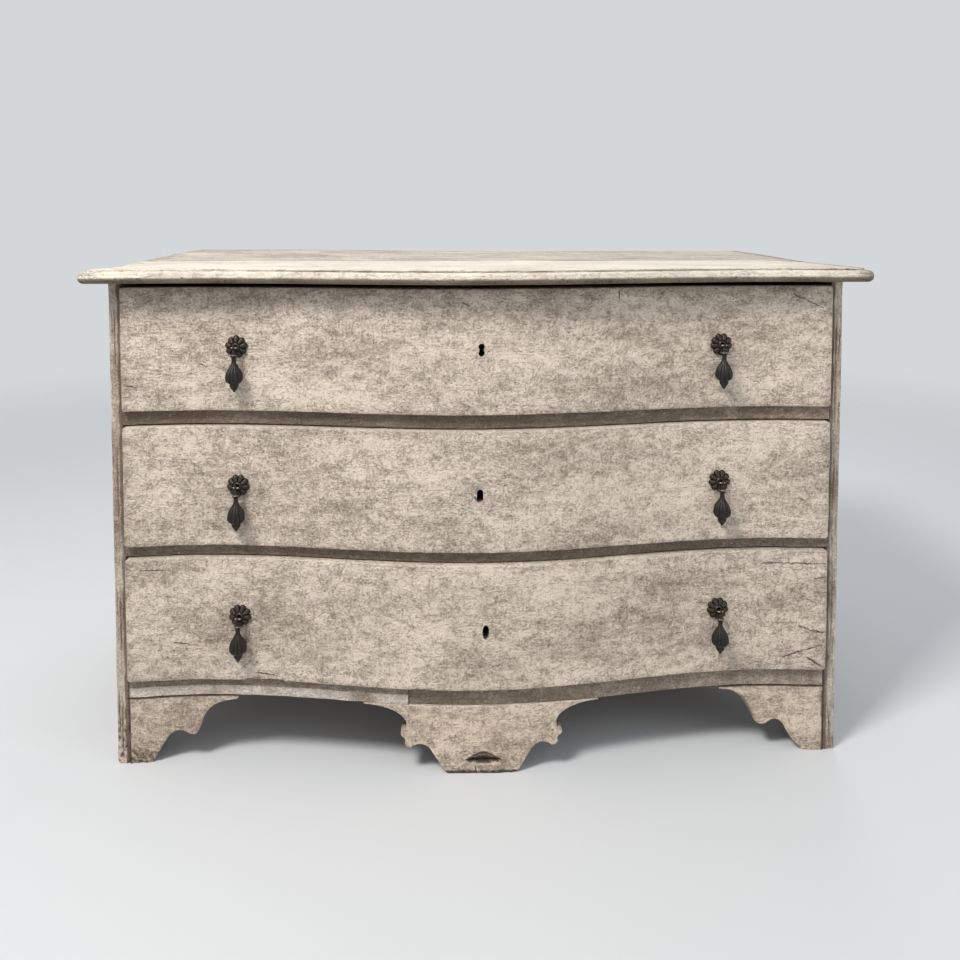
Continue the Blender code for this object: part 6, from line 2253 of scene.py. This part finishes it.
@dataclass
class Studio:
    """A pale floor that fades into the background, soft lights and the camera."""

    camera_at: Triple = (-0.051, -1.6805, 0.885)
    yaw: float = 2.0
    pitch: float = 3.0
    lens: float = 33.75
    shift: float = -0.2285
    pale: Triple = (0.66, 0.68, 0.70)
    sky_tint: Triple = (0.93, 0.96, 1.0)
    sky_strength: float = 0.60
    floor_radius: float = 7.0
    clear_at: Pair = (4.2, 1.5)

    def camera(self) -> None:
        """Place the camera at the photograph's angle."""
        data = bpy.data.cameras.new("camera")
        data.lens, data.sensor_width, data.shift_y = self.lens, 36.0, self.shift
        camera = bpy.data.objects.new("camera", data)
        camera.location = self.camera_at
        camera.rotation_euler = (math.radians(90 - self.pitch), 0, math.radians(-self.yaw))
        bpy.context.scene.collection.objects.link(camera)
        bpy.context.scene.camera = camera

    def light(self, name: str, at: Triple, towards: Triple, size: float, watts: float, warmth: Triple) -> None:
        """Place a square soft box.

        Args:
            name: Its name.
            at: Where it stands.
            towards: The place it is aimed at.
            size: Its side.
            watts: Its power.
            warmth: Its colour.
        """
        data = bpy.data.lights.new(name, "AREA")
        data.shape, data.size, data.energy, data.color = "SQUARE", size, watts, warmth
        lamp = bpy.data.objects.new(name, data)
        lamp.location = at
        lamp.rotation_euler = (Vector(towards) - Vector(at)).to_track_quat("-Z", "Y").to_euler()
        bpy.context.scene.collection.objects.link(lamp)

    def floor(self) -> None:
        """Make a round floor whose rim fades into the background, which shows through it."""
        turns = np.linspace(0, 2 * np.pi, 96, endpoint=False)
        ring = self.floor_radius * np.stack((np.cos(turns), np.sin(turns), np.zeros(96)), axis=1)
        floor = new_piece("studio_floor", ring, [list(range(96))])
        made = bpy.data.materials.new("studio_floor")
        made.use_nodes = True
        bench, nodes = Bench(made.node_tree), made.node_tree.nodes
        shader = nodes["Principled BSDF"]
        place = bench.put("ShaderNodeTexCoord").outputs["Object"]
        dim, bright = (tuple(value * share for value in self.pale) for share in (0.84, 0.87))
        bench.join(shader.inputs["Base Color"], bench.tint(bench.noise(place, (0.6, 0.6, 0.6), 3), dim, bright))
        bench.join(shader.inputs["Roughness"], 0.75)
        solid = bench.window(bench.aim("LENGTH", place), *self.clear_at)
        clear = bench.put("ShaderNodeBsdfTransparent")
        mixed = bench.put("ShaderNodeMixShader", {0: solid, 1: clear.outputs[0], 2: shader.outputs[0]})
        bench.join(nodes["Material Output"].inputs["Surface"], mixed.outputs[0])
        floor.data.materials.append(made)

    def sky(self) -> None:
        """Make an even world light, seen as the pale background by the camera and in reflections."""
        world = bpy.data.worlds.new("studio")
        bpy.context.scene.world = world
        world.use_nodes = True
        bench, nodes = Bench(world.node_tree), world.node_tree.nodes
        fill = nodes["Background"]
        bench.join(fill.inputs["Color"], self.sky_tint)
        bench.join(fill.inputs["Strength"], self.sky_strength)
        shown = bench.put("ShaderNodeBackground", {"Color": self.pale, "Strength": 1.0})
        path = bench.put("ShaderNodeLightPath").outputs
        camera, glossy, through = (path[f"Is {kind} Ray"] for kind in ("Camera", "Glossy", "Transmission"))
        seen = bench.calc("MAXIMUM", camera, bench.calc("MAXIMUM", glossy, through))
        mixed = bench.put("ShaderNodeMixShader", {0: seen, 1: fill.outputs[0], 2: shown.outputs[0]})
        bench.join(nodes["World Output"].inputs["Surface"], mixed.outputs[0])

    def build(self) -> None:
        """Make everything round the chest."""
        self.camera()
        self.floor()
        self.sky()
        self.light("key", (-1.4, -1.75, 3.1), (0, 0, 0.4), 0.8, 116, (1.0, 0.965, 0.92))
        self.light("fill", (2.4, -1.6, 1.4), (0, 0, 0.4), 1.8, 16, (0.95, 0.98, 1.0))
        self.light("rim", (0.6, 2.2, 2.2), (0, 0, 0.5), 1.8, 22, (1.0, 1.0, 1.0))
        bpy.context.scene.view_settings.view_transform = "Standard"


@dataclass
class Chest:
    """The whole chest: its boards, its drawers, its pulls and the solids that are kept."""

    top: Top = field(default_factory=Top)
    planks: SidePlanks = field(default_factory=SidePlanks)
    rails: Rails = field(default_factory=Rails)
    apron: Apron = field(default_factory=Apron)
    pull: Pull = field(default_factory=Pull)

    def build(self) -> None:
        """Make every piece in order, from the case outwards."""
        self.build_case()
        skin, thin, speck = (0.010, 0.0075, 0.0052), (0.034, 0.024, 0.016), (0.040, 0.026, 0.016)
        brass = OldMetal("blackened_brass", skin, thin, speck).material()
        for index, place in enumerate(DRAWERS):
            finish = LimedOak(f"limed_oak_{place.name}_front", marks=place.marks).material()
            DrawerFront(place).build(finish, 23 + 4 * index)
            for side, hand in SIDES:
                self.pull.build(place, side, hand, brass)
        self.dress_solids()

    def build_case(self) -> None:
        """Make the case's boards, each in its own tone of the limed finish."""
        # The front board's film is paler, partly its own lighter limewash and partly painted light for a top lit
        # from above.
        pale_top = LimedOak(
            "limed_oak_top", film=(0.88, 0.81, 0.69), wood=(0.46, 0.36, 0.26), pore=(0.17, 0.125, 0.065),
            cover=0.84, streaks=0.30,
        )
        grey_top = LimedOak(
            "limed_oak_top_back", film=(0.79, 0.70, 0.60), wood=(0.42, 0.34, 0.27), cover=0.62, streaks=0.38
        )
        planks = LimedOak(
            "limed_oak_planks", Grain.UPRIGHT, (0.76, 0.63, 0.515), (0.33, 0.245, 0.175), (0.125, 0.083, 0.056),
            cover=0.60, streaks=0.25,
        )
        # The rails are darker than the fronts, partly dirtier brown wood and partly painted shade from the drawers
        # above; the base rail is lighter, with less of that painted shade, and paler where its painted highlight
        # lies.
        rails = LimedOak(
            "limed_oak_rails", film=(0.60, 0.485, 0.375), wood=(0.25, 0.18, 0.122), pore=(0.075, 0.050, 0.033),
            cover=0.56,
        )
        base = LimedOak(
            "limed_oak_base", film=(0.66, 0.545, 0.44), wood=(0.29, 0.215, 0.15), pore=(0.125, 0.083, 0.056),
            rubbed_and_lit=(0.86, 0.75, 0.66), cover=0.54,
        )
        apron = LimedOak(
            "limed_oak_apron", film=(0.80, 0.655, 0.52), wood=(0.36, 0.26, 0.18), rubbed_and_lit=(0.90, 0.80, 0.68),
            cover=0.62, marks=(Mark((-0.0100, 0.0105), (-0.0085, 0.0010), 0.0012),),
        )
        self.top.build(pale_top.material(), grey_top.material())
        self.planks.build(planks.material())
        self.rails.build(rails.material(), base.material())
        self.apron.build(apron.material())

    def dress_solids(self) -> None:
        """Give the solids that stay their finishes."""
        bare = {grain: BareOak(f"bare_oak_{grain.name.lower()}", grain).material() for grain in Grain}
        light, dark = (0.34, 0.24, 0.15), (0.19, 0.125, 0.075)
        lighter = BareOak("bare_oak_lighter", Grain.ACROSS, 1.0, light, dark).material()
        iron = OldMetal(
            "lock_iron", (0.045, 0.040, 0.036), (0.11, 0.095, 0.082), (0.16, 0.075, 0.035), (0.28, 0.26, 0.24),
            0.75, 0.55, 0.0003,
        ).material()
        for node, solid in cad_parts.items():
            if solid.hide_render:
                continue
            if "lock" in node:
                dress(node, iron)
            elif "runner" in node or "drawer_side" in node:
                dress(node, bare[Grain.DEEP])
            elif "foot_block" in node:
                dress(node, bare[Grain.UPRIGHT])
            elif node == "back_upper_plank" or node.endswith("drawer_bottom"):
                dress(node, lighter)
            else:
                dress(node, bare[Grain.ACROSS])


def corners(box: Sequence[Vector]) -> list[list[float]]:
    """A box's two corners as plain numbers."""
    return [[float(value) for value in corner] for corner in box]


def main() -> None:
    """Build the chest and its studio."""
    logging.basicConfig(level=logging.INFO, format="%(name)s %(message)s")
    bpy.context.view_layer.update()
    Chest().build()
    Studio().build()


if __name__ == "__main__":
    main()
